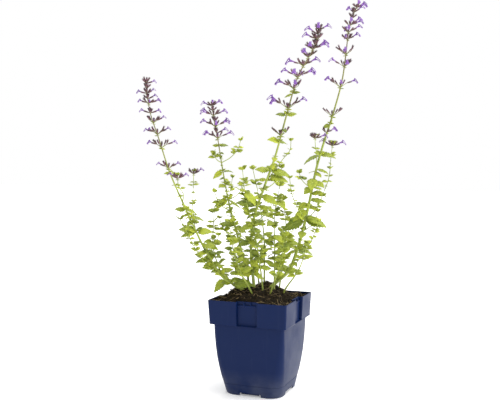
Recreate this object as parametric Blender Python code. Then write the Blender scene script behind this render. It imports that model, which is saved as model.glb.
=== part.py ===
"""A catmint plant in its square nursery pot.

The origin is at the middle of the pot's foot, on the ground, and the pot's front faces -Y.
Sizes below are in millimetres, and meshes are made in metres.
"""

import math
import random

import bmesh
import bpy
from mathutils import Matrix, Vector

MM = 0.001
GAP = 0.3

# Pot: a square of 90 mm at the rim, with a deep collar and a body that narrows to its foot
WALL = 0.9
RECESS_HALF_WIDTH = 11.5
RECESS_SLANT = 0.6
RIM_HEIGHT = 106.6
STEP_HEIGHT = 79.6
LEDGE_HEIGHT = 101.2
BODY_LEVELS = (
    # height, half width, corner radius
    (0.0, 33.7, 16.0),
    (12.3, 35.4, 13.5),
    (30.0, 37.9, 10.5),
    (55.0, 39.6, 7.5),
    (STEP_HEIGHT, 40.3, 5.5),
)
COLLAR_LEVELS = (
    # height, half width, corner radius, recess depth
    (STEP_HEIGHT + 0.6, 43.9, 3.8, 0.4),
    (STEP_HEIGHT + 3.0, 43.95, 3.8, 3.2),
    (LEDGE_HEIGHT, 44.8, 3.4, 3.6),
    (LEDGE_HEIGHT + 0.5, 44.8, 3.4, 5.0),
    (RIM_HEIGHT, 45.0, 3.3, 5.0),
)
FLOOR_UNDERSIDE = 6.0
FLOOR_TOP = 7.2
FOOT_PAD_RADIUS = 6.0
SKIRT_CUT_WIDTH = 25.0
SKIRT_CUT_HEIGHT = 3.4
DRAIN_RADIUS = 3.5
DRAIN_OFFSET = 17.0

# Soil: fills the pot to just under its rim, and is mounded round the stems
SOIL_EDGE_HEIGHT = 101.6
SOIL_GRID_HALF = 37.5
SOIL_GRID_CELLS = 9
SOIL_GRID_BASE = 94.0
MOUND_TOP = 115.5
MOUND_CENTRE = (-3.0, 3.0)
CLOD = (3.0, 15.0)
CLOD_RADIUS = 7.0
CLOD_HEIGHT = 5.5
HOLE_DEPTH = 9.0
HOLE_SIDES = 6

# Plant: its routes are in a frame of its own, (across, away, up), turned from the pot's front
PLANT_TURN = math.radians(22.0)
ACROSS = Vector((math.cos(PLANT_TURN), math.sin(PLANT_TURN), 0.0))
AWAY = Vector((-math.sin(PLANT_TURN), math.cos(PLANT_TURN), 0.0))
UP = Vector((0.0, 0.0, 1.0))
LIGHT = Vector((0.1, -0.75, 0.65))
LINE_STEP = 3.0
TUBE_STEP = 7.5
SHOOT_RADIUS = 0.5
TIP_RADIUS = 0.42
STEM_CLEARANCE = 3.4
LEAF_THICKNESS = 0.68
LEAF_KEEL = 1.1
CALYX_RADIUS = 1.3
COROLLA_SINK = 1.6
CALYX_SINK = 0.3
LEAF_SINK = 0.4
SLOPE_STEP = 0.01
PETIOLE_HALF_WIDTH = 0.45
LARGE_LEAF = 15.0
MEDIUM_LEAF = 9.0

GREEN = (0.36, 0.50, 0.06)
SOIL_BROWN = (0.045, 0.032, 0.022)
POT_BLUE = (0.035, 0.055, 0.105)

# Flowering stems: a guide route, the radius at the foot, leaf pairs as (height, turn, first length,
# second length), whorls as (height, turn, reach, first calyces, first open, second calyces,
# second open), side shoots as a route with a leaf size and, in buds, their top whorl.
# A turn is in degrees round the stem, with 0 across to the right and 90 away.
FLOWERING_STEMS = {
    "flowering_stem_left": {
        "route": ((-17, -5, 113), (-24.5, -6, 116.5), (-33, -7, 122), (-45, -8, 131.2),
                  (-60.9, -10, 156.5), (-72.5, -12, 180.3), (-85, -14, 208.3), (-101, -18, 246.6),
                  (-112.2, -21, 282.4), (-121.4, -24, 311.5), (-125.2, -26, 337),
                  (-125.4, -26, 345)),
        "foot_radius": 1.15,
        "leaves": ((121.5, -18, 24, 15), (131, 70, 16, 15), (143.5, 10, 13, 12),
                   (157, 55, 17, 14), (179.5, -5, 18, 22), (190, 65, 14, 12),
                   (205, 10, 12, 13), (220, 70, 8, 8), (246, 5, 9, 7)),
        "whorls": ((344, 20, 0, 2, 1, 2, 0), (338, 100, 0, 2, 0, 1, 0),
                   (333, 15, 0, 2, 1, 2, 1), (327, 110, 0, 1, 0, 2, 0),
                   (321.6, 5, 2.6, 2, 2, 2, 1), (311.8, 80, 0, 2, 0, 2, 0),
                   (301, 10, 4.5, 2, 1, 3, 0), (288.4, 0, 5.5, 2, 1, 3, 2),
                   (274, 8, 6.5, 2, 1, 3, 1), (251, 30, 4.5, 1, 1, 3, 1)),
        "shoots": (
            (((-57.2, -16, 140.5), (-66.8, -20, 152.3), (-74.9, -24, 166.6), (-85, -28, 188.1),
              (-89.1, -30, 196)), 128, 9, 0),
            (((-75.7, -2, 193), (-77.2, -1, 208.2), (-76.7, 0, 229.5), (-76, 0, 247.6)),
             182, 7, 2),
            (((-86, -24, 224), (-90.5, -28, 232), (-92, -30, 243)), 214, 5, 3),
        ),
        "side_shoots": ((143.5, 190, 26), (157, -40, 24), (190, 250, 20)),
    },
    "flowering_stem_middle_left": {
        "route": ((-13.7, 4, 114), (-14.6, 5, 124), (-15.9, 6, 134.6), (-22.6, 9, 158.5),
                  (-30.3, 12, 186.9), (-38.1, 16, 217.5), (-44.9, 21, 254.5), (-49.4, 25, 282.9),
                  (-54, 28, 306.4), (-57, 30, 325)),
        "foot_radius": 1.05,
        "leaves": ((135, 40, 14, 16), (150, 120, 14, 14), (168.5, 30, 14, 12),
                   (184.8, -10, 14, 20), (202, 60, 10, 10), (214.9, 0, 16, 18),
                   (232.2, 50, 14, 12), (247, 5, 12, 13), (262, 85, 7, 7), (277, 0, 11, 8)),
        "whorls": ((324, 0, 0, 2, 1, 1, 1), (318, 100, 0, 2, 0, 1, 0),
                   (312, 5, 3.6, 2, 1, 2, 2), (305.5, 90, 0, 2, 0, 1, 0),
                   (299, 0, 5.5, 2, 2, 2, 1), (292, 80, 0, 1, 0, 2, 0),
                   (285.5, 0, 5.5, 1, 1, 3, 2)),
        "shoots": (
            (((-33, 24, 190), (-37, 30, 205), (-36, 33, 222), (-33, 34, 240)), 178, 7, 0),
        ),
        "side_shoots": ((258, 10, 30), (258, 190, 12), (202, 200, 26),
                        (168.5, 170, 30), (214.9, -15, 26)),
    },
    "flowering_stem_middle": {
        "route": ((-7.6, -4, 114), (-8.8, -5, 125), (-10, -6, 137.5), (-11.6, -9, 162.3),
                  (-8.4, -13, 195.4), (2.1, -17, 228.3), (14.7, -22, 264), (26.6, -28, 308.1),
                  (37.7, -34, 347.3), (48.8, -38, 368.9), (56.7, -40, 383.3), (60.6, -42, 400)),
        "foot_radius": 1.3,
        "leaves": ((133, 20, 16, 15), (148, 105, 14, 14), (169.1, 25, 15, 17),
                   (191.4, 110, 15, 14), (209.1, -15, 16, 27), (227.9, 75, 15, 14),
                   (248.5, -5, 22, 17), (279.6, 30, 12, 15), (308.8, 5, 12, 12),
                   (332.2, 0, 9, 9)),
        "whorls": ((399, 15, 0, 2, 1, 1, 0), (394, 100, 0, 2, 0, 1, 0),
                   (388.5, 5, 2.6, 1, 0, 2, 1), (383, 95, 0, 2, 0, 1, 0),
                   (378, 5, 3.6, 3, 2, 2, 0), (370, 0, 5.0, 2, 0, 2, 0),
                   (361, 10, 5.0, 2, 1, 2, 1), (349, 0, 6.5, 2, 2, 2, 1),
                   (337, 15, 6.5, 3, 0, 3, 1), (316, 5, 10.0, 3, 1, 3, 2),
                   (287, 10, 8.0, 3, 0, 1, 0)),
        "shoots": (
            (((15, -16, 250), (24, -12, 262), (32, -9, 272), (33, -8, 282)), 238, 6, 0),
        ),
        "side_shoots": ((209.1, 150, 28), (227.9, 10, 28), (191.4, 10, 30), (169.1, 205, 28),
                        (148, 0, 24)),
    },
    "flowering_stem_right": {
        "route": ((9.1, 1, 113), (12.5, 1.8, 117.5), (19, 3, 123), (32.4, 6, 135.5),
                  (41.8, 10, 158.4), (48.7, 14, 181.2), (55.5, 18, 209.8), (64.3, 23, 250),
                  (73.2, 27, 280.7), (84.1, 31, 313.6), (94.8, 35, 351.5), (99.5, 38, 381.1),
                  (103.3, 41, 410.9), (108.5, 43, 430), (113.5, 44, 441)),
        "foot_radius": 1.45,
        "leaves": ((131, 30, 17, 14), (157.2, -5, 19, 17), (178.8, 80, 14, 15),
                   (190.4, -8, 25, 27), (228.7, 40, 17, 15), (266.2, 0, 19, 20),
                   (302.5, 0, 5, 9)),
        "whorls": ((440, 0, 0, 2, 2, 1, 0), (434, 60, 0, 2, 0, 2, 1),
                   (427, 100, 0, 1, 0, 1, 0), (418, 0, 3.2, 3, 2, 1, 0),
                   (410, 0, 4.0, 1, 1, 1, 0), (401.5, 0, 3.0, 3, 1, 1, 0),
                   (384, 0, 8.0, 2, 0, 2, 0), (369.5, 5, 6.0, 3, 0, 1, 1),
                   (345.5, 0, 9.0, 1, 1, 3, 1), (311.6, 0, 8.5, 3, 0, 1, 0),
                   (292, 40, 2.8, 1, 1, 1, 0)),
        "shoots": (
            (((43.5, -2, 149), (54, -6, 165.5), (61, -9, 182), (64.1, -11, 192)), 134, 10, 0),
            (((42, 8, 207), (35, 5, 222.4), (32.5, 4, 240)), 192, 8, 0),
            (((60.1, 20, 199), (67, 24, 209), (73, 26, 222), (80, 28, 242), (82, 30, 262),
              (84, 30, 280)), 192, 8, 3),
            (((64, 16, 268), (62.5, 13, 276), (61.5, 12, 288)), 252, 5, 2),
        ),
        "side_shoots": ((157.2, 190, 26), (228.7, 170, 20), (178.8, 20, 26)),
    },
}

# Leafy shoots from the root: a guide route, and the lengths of the lowest and highest leaves
BASAL_SHOOTS = {
    "leafy_shoot_front": (((2, -12, 110), (0.5, -14, 128), (-2.6, -17, 150), (-7.5, -20, 180),
                           (-17, -23, 217), (-21, -25, 250)), 16, 8),
    "leafy_shoot_centre": (((4, 9, 113), (4, 12, 135), (4, 16, 168), (-1.5, 22, 214),
                            (-9, 26, 250)), 17, 8),
    "leafy_shoot_centre_right": (((14.5, -5, 110), (15, -3, 128), (15.5, 3, 158),
                                  (15.5, 8, 198), (21.5, 11, 231)), 16, 9),
    "leafy_shoot_right": (((20.8, 9, 109), (22.5, 13, 122), (28.1, 21, 156), (29.5, 27, 187),
                           (26, 31, 214)), 17, 9),
    "leafy_shoot_left": (((-23, 6, 110), (-31, 7, 117.5), (-43, 8, 127), (-52.5, 11, 150),
                          (-55.3, 15, 169), (-54, 18, 201)), 20, 9),
    "leafy_shoot_back": (((-1, 19, 109), (-3, 25, 124), (-6, 34, 158), (-7, 42, 193)), 18, 9),
    "leafy_shoot_back_right": (((13, 20, 108), (18, 26, 120), (29, 40, 152), (36, 50, 188)),
                               17, 9),
    "leafy_shoot_back_left": (((-15, 15, 110), (-20, 22, 122), (-31, 36, 150), (-37, 44, 186)),
                              17, 9),
    "leafy_shoot_front_right": (((9, -17, 108), (12, -21, 120), (20, -31, 146),
                                 (25, -36, 178)), 16, 9),
    "leafy_shoot_front_left": (((-9, -17, 109), (-14, -21, 120), (-25, -31, 143),
                                (-31, -36, 172)), 17, 9),
    "leafy_shoot_far_right": (((24, -4, 107), (28, -8, 117), (42, -18, 140), (51, -22, 168)),
                              16, 9),
}


def place(point):
    """A point of the plant's frame, in millimetres, as world metres."""
    return (ACROSS * point[0] + AWAY * point[1] + UP * point[2]) * MM


def direction(turn, lift):
    """A unit vector of the plant's frame from its turn and its angle above level, in degrees."""
    turn, lift = math.radians(turn), math.radians(lift)
    return Vector((math.cos(lift) * math.cos(turn), math.cos(lift) * math.sin(turn),
                   math.sin(lift)))


def smooth_line(guides, step):
    """Points about a step apart on the Catmull-Rom curve through the guide points."""
    guides = [Vector(guide) for guide in guides]
    padded = [guides[0] * 2 - guides[1], *guides, guides[-1] * 2 - guides[-2]]
    line = []
    for before, start, end, after in zip(padded, padded[1:], padded[2:], padded[3:]):
        count = max(1, round((end - start).length / step))
        for index in range(count):
            t = index / count
            line.append((start * 2 + (end - before) * t
                         + (before * 2 - start * 5 + end * 4 - after) * t ** 2
                         + (start * 3 - before - end * 3 + after) * t ** 3) / 2)
    return [*line, guides[-1]]


def point_at_height(line, height):
    """The point and the direction of a line where it first reaches a height."""
    for start, end in zip(line, line[1:]):
        if end.z >= height > start.z:
            return start.lerp(end, (height - start.z) / (end.z - start.z)), (end - start).normalized()
    return line[-1].copy(), (line[-1] - line[-2]).normalized()


class Space:
    """Where the pieces of each node already are, in cells, so that others can be kept clear."""

    CELL = 8.0

    def __init__(self):
        self.cells = {}

    def key(self, point):
        return tuple(math.floor(value / self.CELL) for value in point)

    def add(self, points, owner):
        for point in points:
            self.cells.setdefault(self.key(point), []).append((point, owner))

    def nearest(self, point, owner):
        """The nearest point of another node within a cell's size, or None."""
        best, found = self.CELL, None
        kx, ky, kz = self.key(point)
        for x in (kx - 1, kx, kx + 1):
            for y in (ky - 1, ky, ky + 1):
                for z in (kz - 1, kz, kz + 1):
                    for other, name in self.cells.get((x, y, z), ()):
                        if name != owner and (other - point).length < best:
                            best, found = (other - point).length, other
        return found

    def is_clear(self, points, owner, distance):
        for point in points:
            other = self.nearest(point, owner)
            if other is not None and (other - point).length < distance:
                return False
        return True


def bend_clear(line, owner, space, fixed=3):
    """The line, pushed sideways where it passes too near another node's stems."""
    for _ in range(6):
        pushes = []
        for point in line:
            other = space.nearest(point, owner)
            push = Vector()
            if other is not None and (point - other).length < STEM_CLEARANCE:
                push = (point - other).normalized() * (STEM_CLEARANCE - (point - other).length)
                push.z = 0.0
            pushes.append(push)
        for index in range(fixed, len(line)):
            near = pushes[max(fixed, index - 3):index + 4]
            line[index] = line[index] + sum(near, Vector()) * (1.6 / len(near))
    return line


class Growth:
    """One plant node: its tubes, leaves, calyces and corollas, in the plant's frame."""

    def __init__(self, name, seed):
        self.name = name
        self.draw = random.Random(seed)
        self.tubes = []
        self.leaves = []
        self.calyces = []
        self.corollas = []
        self.shoots = []

    def add_tube(self, line, foot, tip, space):
        """A tapering tube along a line; its points become obstacles for other nodes."""
        space.add(line, self.name)
        self.tubes.append((line, foot, tip))

    def leaf_samples(self, leaf):
        base, along, side, normal, length, width = leaf
        samples = []
        for share in (0.3, 0.5, 0.7, 0.9, 1.0):
            middle = leaf_middle(leaf, share)
            samples.append(middle)
            if length > MEDIUM_LEAF and share < 0.9:
                edge = side * (width * 0.45)
                samples.extend((middle + edge, middle - edge))
        return samples

    def add_leaf(self, base, turn, lift, length, space):
        """A leaf at the first free place near its turn and lift, turned to the light, or none."""
        width = length * self.draw.uniform(0.56, 0.68)
        clearance = 1.5 + 0.1 * length
        facing = self.draw.uniform(0.3, 1.0)
        for shift, raised, share in ((0, 0, 1), (-22, 6, 1), (22, 6, 1), (0, 26, 1), (0, -24, 1),
                                     (-44, 10, 0.9), (44, 10, 0.9), (-20, 28, 0.85),
                                     (20, 28, 0.85), (0, 0, 0.7), (-60, 15, 0.8), (60, 15, 0.8)):
            along = direction(turn + shift, lift + raised)
            normal = along.cross(UP).cross(along).normalized().lerp(LIGHT, facing)
            side = along.cross(normal).normalized()
            leaf = (base, along, side, side.cross(along), length * share, width * share)
            samples = self.leaf_samples(leaf)
            if all(point.z > soil_clearance(point) for point in samples) \
                    and space.is_clear(samples, self.name, clearance):
                self.leaves.append(leaf)
                space.add(samples, self.name)
                return

    def add_pair(self, line, height, turn, first, second, space):
        """Two opposite leaves of a stem."""
        base, _ = point_at_height(line, height)
        for offset, length in ((0, first), (180, second)):
            lift = self.draw.uniform(-25, 25)
            self.add_leaf(base, turn + offset + self.draw.uniform(-8, 8), lift, length, space)

    def leafy(self, line, low, high, spacing, turn, space, bare=9.0):
        """Opposite pairs up a shoot, each turned a quarter from the last, smaller to the tip."""
        length = sum((b - a).length for a, b in zip(line, line[1:]))
        pairs = max(2, round((length - bare) / spacing))
        for index in range(pairs):
            share = (bare + (length - bare) * (index + 1) / pairs) / length
            at = line[min(len(line) - 1, round(share * (len(line) - 1)))]
            size = low + (high - low) * share
            for offset in (0, 180):
                lift = self.draw.uniform(5, 45) if index < pairs - 1 else self.draw.uniform(35, 60)
                self.add_leaf(at, turn + 90 * index + offset + self.draw.uniform(-10, 10), lift,
                              size * self.draw.uniform(0.85, 1.12), space)

    def add_cyme(self, root, centre, turn, calyces, opened, space):
        """Calyces fanned from one point, the most level of them with open corollas."""
        for index in range(calyces):
            spread = (index - (calyces - 1) / 2) * 38 + self.draw.uniform(-9, 9)
            lift = self.draw.uniform(38, 72) if index >= opened else self.draw.uniform(14, 34)
            along = direction(turn + spread, lift)
            length = self.draw.uniform(5.2, 6.6)
            self.calyces.append((root, centre, along, length))
            if index < opened:
                self.corollas.append((centre + along * (length - COROLLA_SINK), along,
                                      self.draw.uniform(7.0, 8.5)))
        space.add([centre + direction(turn, 40) * 4], self.name)

    def add_whorl(self, line, row, space):
        """Two opposite cymes, each on its own stalk where it stands off the stem."""
        height, turn, reach, first, first_open, second, second_open = row
        at, _ = point_at_height(line, height)
        for offset, calyces, opened in ((0, first, first_open), (180, second, second_open)):
            out = direction(turn + offset + self.draw.uniform(-8, 8), 38)
            self.add_cyme(at, at + out * reach, turn + offset, calyces, opened, space)


def leaf_middle(leaf, share):
    """A point of a leaf's midrib, which rises from its straight line and then droops."""
    base, along, side, normal, length, width = leaf
    rise = length * (0.24 * share - 0.46 * share ** 2)
    return base + along * (length * share) + (normal + UP).normalized() * rise


def soil_clearance(point):
    """The lowest a leaf may come: over the soil and the rim inside, below the rim outside."""
    return 112.0 if max(abs(point.x), abs(point.y)) < 48 else 96.0


def side_line(start, turn, length):
    """A thin shoot's line from a leaf's axil: out, then curving up."""
    out = direction(turn, 0)
    guides = [start + out * (length * 0.75 * (1 - (1 - s) ** 1.7)) + UP * (length * 0.85 * s ** 1.25)
              for s in (0.0, 0.3, 0.65, 1.0)]
    return smooth_line(guides, LINE_STEP)


def grow_plant():
    """Every plant node: stems first, then leaves and flowers in the room that is left."""
    space = Space()
    growths = []
    for seed, (name, data) in enumerate(FLOWERING_STEMS.items()):
        growth = Growth(name, 100 + seed)
        line = bend_clear(smooth_line(data["route"], LINE_STEP), name, space)
        growth.add_tube(line, data["foot_radius"], 0.55, space)
        growths.append(growth)
    for seed, (name, (route, low, high)) in enumerate(BASAL_SHOOTS.items()):
        growth = Growth(name, 200 + seed)
        line = bend_clear(smooth_line(route, LINE_STEP), name, space)
        growth.add_tube(line, 0.75, TIP_RADIUS, space)
        growths.append(growth)
    by_name = {growth.name: growth for growth in growths}
    for name, data in FLOWERING_STEMS.items():
        growth = by_name[name]
        line = growth.tubes[0][0]
        for route, height, size, buds in data["shoots"]:
            start, _ = point_at_height(line, height)
            shoot = bend_clear(smooth_line((start, *route), LINE_STEP), name, space, 1)
            growth.add_tube(shoot, SHOOT_RADIUS, TIP_RADIUS, space)
            growth.shoots.append((shoot, size, buds))
        for height, turn, length in data["side_shoots"]:
            start, _ = point_at_height(line, height)
            shoot = bend_clear(side_line(start, turn, length), name, space, 1)
            growth.add_tube(shoot, SHOOT_RADIUS, TIP_RADIUS, space)
            growth.shoots.append((shoot, 12.5, 0))
    for name, data in FLOWERING_STEMS.items():
        growth = by_name[name]
        line = growth.tubes[0][0]
        for height, turn, first, second in data["leaves"]:
            growth.add_pair(line, height, turn, first, second, space)
        for row in data["whorls"]:
            growth.add_whorl(line, row, space)
        for shoot, size, buds in growth.shoots:
            growth.leafy(shoot, size, 7.0, 15.0, 30, space, 6.0)
            if buds:
                growth.add_whorl(shoot, (shoot[-1].z - 3, 10, 1.5, 2, 1, 2, buds - 2), space)
    for name, (route, low, high) in BASAL_SHOOTS.items():
        growth = by_name[name]
        growth.leafy(growth.tubes[0][0], low, high, 16.5, 35, space, 14.0)
    return growths


def make_material(name, colour, roughness):
    material = bpy.data.materials.new(name)
    material.use_nodes = True
    shader = material.node_tree.nodes["Principled BSDF"]
    shader.inputs["Base Color"].default_value = (*colour, 1.0)
    shader.inputs["Roughness"].default_value = roughness
    shader.inputs["Metallic"].default_value = 0.0
    return material


def add_object(name, mesh, collection, material=None):
    obj = bpy.data.objects.new(name, mesh)
    collection.objects.link(obj)
    if material is not None:
        mesh.materials.append(material)
    return obj


def mesh_from(name, shape):
    """A mesh from a bmesh, with its faces pointing out."""
    bmesh.ops.recalc_face_normals(shape, faces=shape.faces)
    mesh = bpy.data.meshes.new(name)
    shape.to_mesh(mesh)
    shape.free()
    return mesh


def apply_modifiers(obj):
    """Replaces the object's mesh with its evaluated one."""
    evaluated = obj.evaluated_get(bpy.context.evaluated_depsgraph_get())
    mesh = bpy.data.meshes.new_from_object(evaluated)
    obj.modifiers.clear()
    obj.data = mesh


def join_collection(obj, collection, operation, solver):
    """One Boolean on a whole collection, applied, with the collection's objects removed."""
    boolean = obj.modifiers.new("join", "BOOLEAN")
    boolean.operation = operation
    boolean.operand_type = "COLLECTION"
    boolean.collection = collection
    boolean.solver = solver
    apply_modifiers(obj)
    for other in list(collection.objects):
        bpy.data.objects.remove(other, do_unlink=True)


def drop_scraps(obj):
    """Keeps the largest body of a mesh, in triangles."""
    shape = bmesh.new()
    shape.from_mesh(obj.data)
    on_edges = [vert for vert in shape.verts if len(vert.link_edges) == 2]
    bmesh.ops.dissolve_verts(shape, verts=on_edges)
    bmesh.ops.triangulate(shape, faces=shape.faces, quad_method="FIXED", ngon_method="EAR_CLIP")
    left = set(shape.verts)
    bodies = []
    while left:
        body = {left.pop()}
        edge = list(body)
        while edge:
            near = {link.other_vert(vert) for vert in edge for link in vert.link_edges} - body
            body |= near
            edge = list(near)
        left -= body
        bodies.append(body)
    bodies.sort(key=len)
    for body in bodies[:-1]:
        bmesh.ops.delete(shape, geom=list(body), context="VERTS")
    shape.to_mesh(obj.data)
    shape.free()


def square_ring(half, radius, recess_half=RECESS_HALF_WIDTH, depth=0.0):
    """A rounded square's outline from above, counter-clockwise, with a recess in each side."""
    side = [(-recess_half - RECESS_SLANT, half), (-recess_half, half - depth),
            (recess_half, half - depth), (recess_half + RECESS_SLANT, half)]
    for degrees in (90, 45, 0):
        angle = math.radians(degrees)
        side.append((half - radius + radius * math.cos(angle),
                     half - radius + radius * math.sin(angle)))
    ring = []
    for quarter in range(4):
        turn = Matrix.Rotation(math.radians(90 * quarter), 3, "Z")
        ring.extend(turn @ Vector((along, -out, 0.0)) for along, out in side)
    return ring


def loft(shape, rings):
    """Joins rings of equal count with quads and closes both ends."""
    loops = [[shape.verts.new(point) for point in ring] for ring in rings]
    for low, high in zip(loops, loops[1:]):
        for index in range(len(low)):
            after = (index + 1) % len(low)
            shape.faces.new((low[index], low[after], high[after], high[index]))
    shape.faces.new(loops[0][::-1])
    shape.faces.new(loops[-1])


def at_level(ring, height):
    return [(point + UP * height) * MM for point in ring]


def inner_level(height, half, radius, depth, offset):
    """The pot's outline moved inward by an offset."""
    ring = square_ring(half - offset, max(radius - offset, 1.0), RECESS_HALF_WIDTH + offset, depth)
    return at_level(ring, height)


def body_half_width(height):
    """The body's half width and corner radius at a height."""
    for low, high in zip(BODY_LEVELS, BODY_LEVELS[1:]):
        if low[0] <= height <= high[0]:
            share = (height - low[0]) / (high[0] - low[0])
            return tuple(low[i] + (high[i] - low[i]) * share for i in (1, 2))
    return BODY_LEVELS[-1][1:]


def cutter_box(name, size, centre, turn, cutters):
    shape = bmesh.new()
    bmesh.ops.create_cube(shape, size=1.0)
    matrix = (Matrix.Rotation(turn, 4, "Z") @ Matrix.Translation(Vector(centre) * MM)
              @ Matrix.Diagonal((*(value * MM for value in size), 1.0)))
    bmesh.ops.transform(shape, matrix=matrix, verts=shape.verts)
    return add_object(name, mesh_from(name, shape), cutters)


def cylinder(name, radius, start, end, sides, collection):
    """A closed cylinder between two points in millimetres."""
    axis = Vector(end) - Vector(start)
    shape = bmesh.new()
    bmesh.ops.create_cone(shape, cap_ends=True, segments=sides, radius1=radius * MM,
                          radius2=radius * MM, depth=axis.length * MM)
    matrix = (Matrix.Translation((Vector(start) + Vector(end)) / 2 * MM)
              @ axis.to_track_quat("Z", "Y").to_matrix().to_4x4())
    bmesh.ops.transform(shape, matrix=matrix, verts=shape.verts)
    return add_object(name, mesh_from(name, shape), collection)


def make_pot(collection, cutters):
    """The pot: thin walls, a raised floor with drain holes, a skirt with a cut in each side."""
    foot_half, foot_radius = BODY_LEVELS[0][1:]
    floor_half, floor_radius = body_half_width(FLOOR_UNDERSIDE)
    rings = [inner_level(FLOOR_UNDERSIDE, floor_half, floor_radius, 0.0, WALL),
             inner_level(0.0, foot_half, foot_radius, 0.0, WALL)]
    rings.extend(at_level(square_ring(half, radius), height)
                 for height, half, radius in BODY_LEVELS)
    rings.extend(at_level(square_ring(half, radius, depth=depth), height)
                 for height, half, radius, depth in COLLAR_LEVELS)
    for height, half, radius, depth in reversed(COLLAR_LEVELS[1:]):
        drop = WALL if LEDGE_HEIGHT <= height < RIM_HEIGHT else 0.0
        rings.append(inner_level(height - drop, half, radius, depth, WALL))
    rings.append(inner_level(COLLAR_LEVELS[0][0] + WALL, *COLLAR_LEVELS[0][1:3],
                             COLLAR_LEVELS[1][3], WALL))
    for height, half, radius in reversed(BODY_LEVELS):
        if height > FLOOR_TOP:
            lift = WALL if height == STEP_HEIGHT else 0.0
            rings.append(inner_level(height + lift, half, radius, 0.0, WALL))
    rings.append(inner_level(FLOOR_TOP, *body_half_width(FLOOR_TOP), 0.0, WALL))
    shape = bmesh.new()
    loft(shape, rings)
    pot = add_object("pot", mesh_from("pot", shape), collection,
                     make_material("pot_plastic", POT_BLUE, 0.45))
    joined = bpy.data.collections.new("pot_foot")
    cylinder("foot_pad", FOOT_PAD_RADIUS, (0, 0, 0), (0, 0, FLOOR_UNDERSIDE + 0.6), 12, joined)
    join_collection(pot, joined, "UNION", "EXACT")
    for quarter in range(4):
        turn = math.radians(90 * quarter)
        cutter_box("skirt_cut", (SKIRT_CUT_WIDTH, 12, 2 * SKIRT_CUT_HEIGHT), (0, -foot_half, 0),
                   turn, cutters)
        drain = Matrix.Rotation(turn + math.radians(45), 3, "Z") @ Vector((0, -DRAIN_OFFSET, 0))
        cylinder("drain", DRAIN_RADIUS, drain + UP * 4, drain + UP * 9, 8, cutters)
    join_collection(pot, cutters, "DIFFERENCE", "EXACT")
    return pot


def soil_height(x, y):
    """The soil's surface: a mound round the stems, with clods, sunk towards the pot's corners."""
    dx, dy = x - MOUND_CENTRE[0], y - MOUND_CENTRE[1]
    far = min(1.0, math.hypot(dx, dy) / 44)
    height = SOIL_EDGE_HEIGHT - 0.5 + (MOUND_TOP - SOIL_EDGE_HEIGHT) * (1 - far ** 2.2)
    height += 0.9 * math.sin(0.31 * x + 1.0) * math.sin(0.27 * y - 0.6)
    height += 0.7 * math.sin(0.62 * x - 0.45 * y + 2.0)
    height += CLOD_HEIGHT * math.exp(-(math.hypot(x - CLOD[0], y - CLOD[1]) / CLOD_RADIUS) ** 2)
    wall = max(abs(x), abs(y))
    if wall > 33:
        height -= (wall - 33) * 1.3
    return height


def make_soil(collection, growths):
    """Soil to the pot's inside, with a plain hole for each stem."""
    levels = [(FLOOR_TOP + GAP, *body_half_width(FLOOR_TOP), 0.0)]
    levels.extend((*level, 0.0) for level in BODY_LEVELS[1:-1])
    levels.append((STEP_HEIGHT + WALL + GAP, *BODY_LEVELS[-1][1:], 0.0))
    levels.append((COLLAR_LEVELS[0][0] + WALL + GAP, *COLLAR_LEVELS[0][1:3],
                   COLLAR_LEVELS[1][3]))
    levels.append((SOIL_EDGE_HEIGHT, *COLLAR_LEVELS[2][1:3], COLLAR_LEVELS[3][3]))
    shape = bmesh.new()
    loft(shape, [inner_level(*level, WALL + GAP) for level in levels])
    soil = add_object("soil", mesh_from("soil", shape), collection,
                      make_material("soil", SOIL_BROWN, 0.95))
    shape = bmesh.new()
    bmesh.ops.create_grid(shape, x_segments=SOIL_GRID_CELLS, y_segments=SOIL_GRID_CELLS,
                          size=SOIL_GRID_HALF * MM)
    top = list(shape.verts)
    base = bmesh.ops.extrude_face_region(shape, geom=list(shape.faces))
    for vert in base["geom"]:
        if isinstance(vert, bmesh.types.BMVert):
            vert.co.z = SOIL_GRID_BASE * MM
    for vert in top:
        vert.co.z = soil_height(vert.co.x / MM, vert.co.y / MM) * MM
    joined = bpy.data.collections.new("soil_mound")
    add_object("mound", mesh_from("mound", shape), joined)
    join_collection(soil, joined, "UNION", "EXACT")
    holes = bpy.data.collections.new("stem_holes")
    for growth in growths:
        line, foot, _ = growth.tubes[0]
        start, after = (place(point) / MM for point in tube_points(line)[:2])
        aim = (after - start).normalized()
        radius = (foot + GAP) / math.cos(math.pi / HOLE_SIDES)
        cylinder("hole", radius, start - aim * GAP, start + aim * (HOLE_DEPTH + 14), HOLE_SIDES,
                 holes)
    join_collection(soil, holes, "DIFFERENCE", "EXACT")
    return soil


def tube_points(line):
    """The few points of a line that its tube passes through."""
    count = max(3, round((len(line) - 1) / TUBE_STEP))
    return [line[round((len(line) - 1) * index / count)] for index in range(count + 1)]


def tube_object(name, line, foot, tip, collection):
    """A square stem along a line, as a mesh made from a bevelled curve."""
    points = tube_points(line)
    curve = bpy.data.curves.new(name, "CURVE")
    curve.dimensions = "3D"
    curve.bevel_depth = MM
    curve.bevel_resolution = 0
    curve.use_fill_caps = True
    spline = curve.splines.new("POLY")
    spline.points.add(len(points) - 1)
    for index, point in enumerate(points):
        spline.points[index].co = (*place(point), 1.0)
        spline.points[index].radius = foot + (tip - foot) * index / (len(points) - 1)
    guide = add_object(name, curve, collection)
    evaluated = guide.evaluated_get(bpy.context.evaluated_depsgraph_get())
    mesh = bpy.data.meshes.new_from_object(evaluated)
    bpy.data.objects.remove(guide, do_unlink=True)
    shape = bmesh.new()
    shape.from_mesh(mesh)
    bmesh.ops.remove_doubles(shape, verts=shape.verts, dist=0.00001)
    return add_object(name, mesh_from(name, shape), collection)


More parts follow.
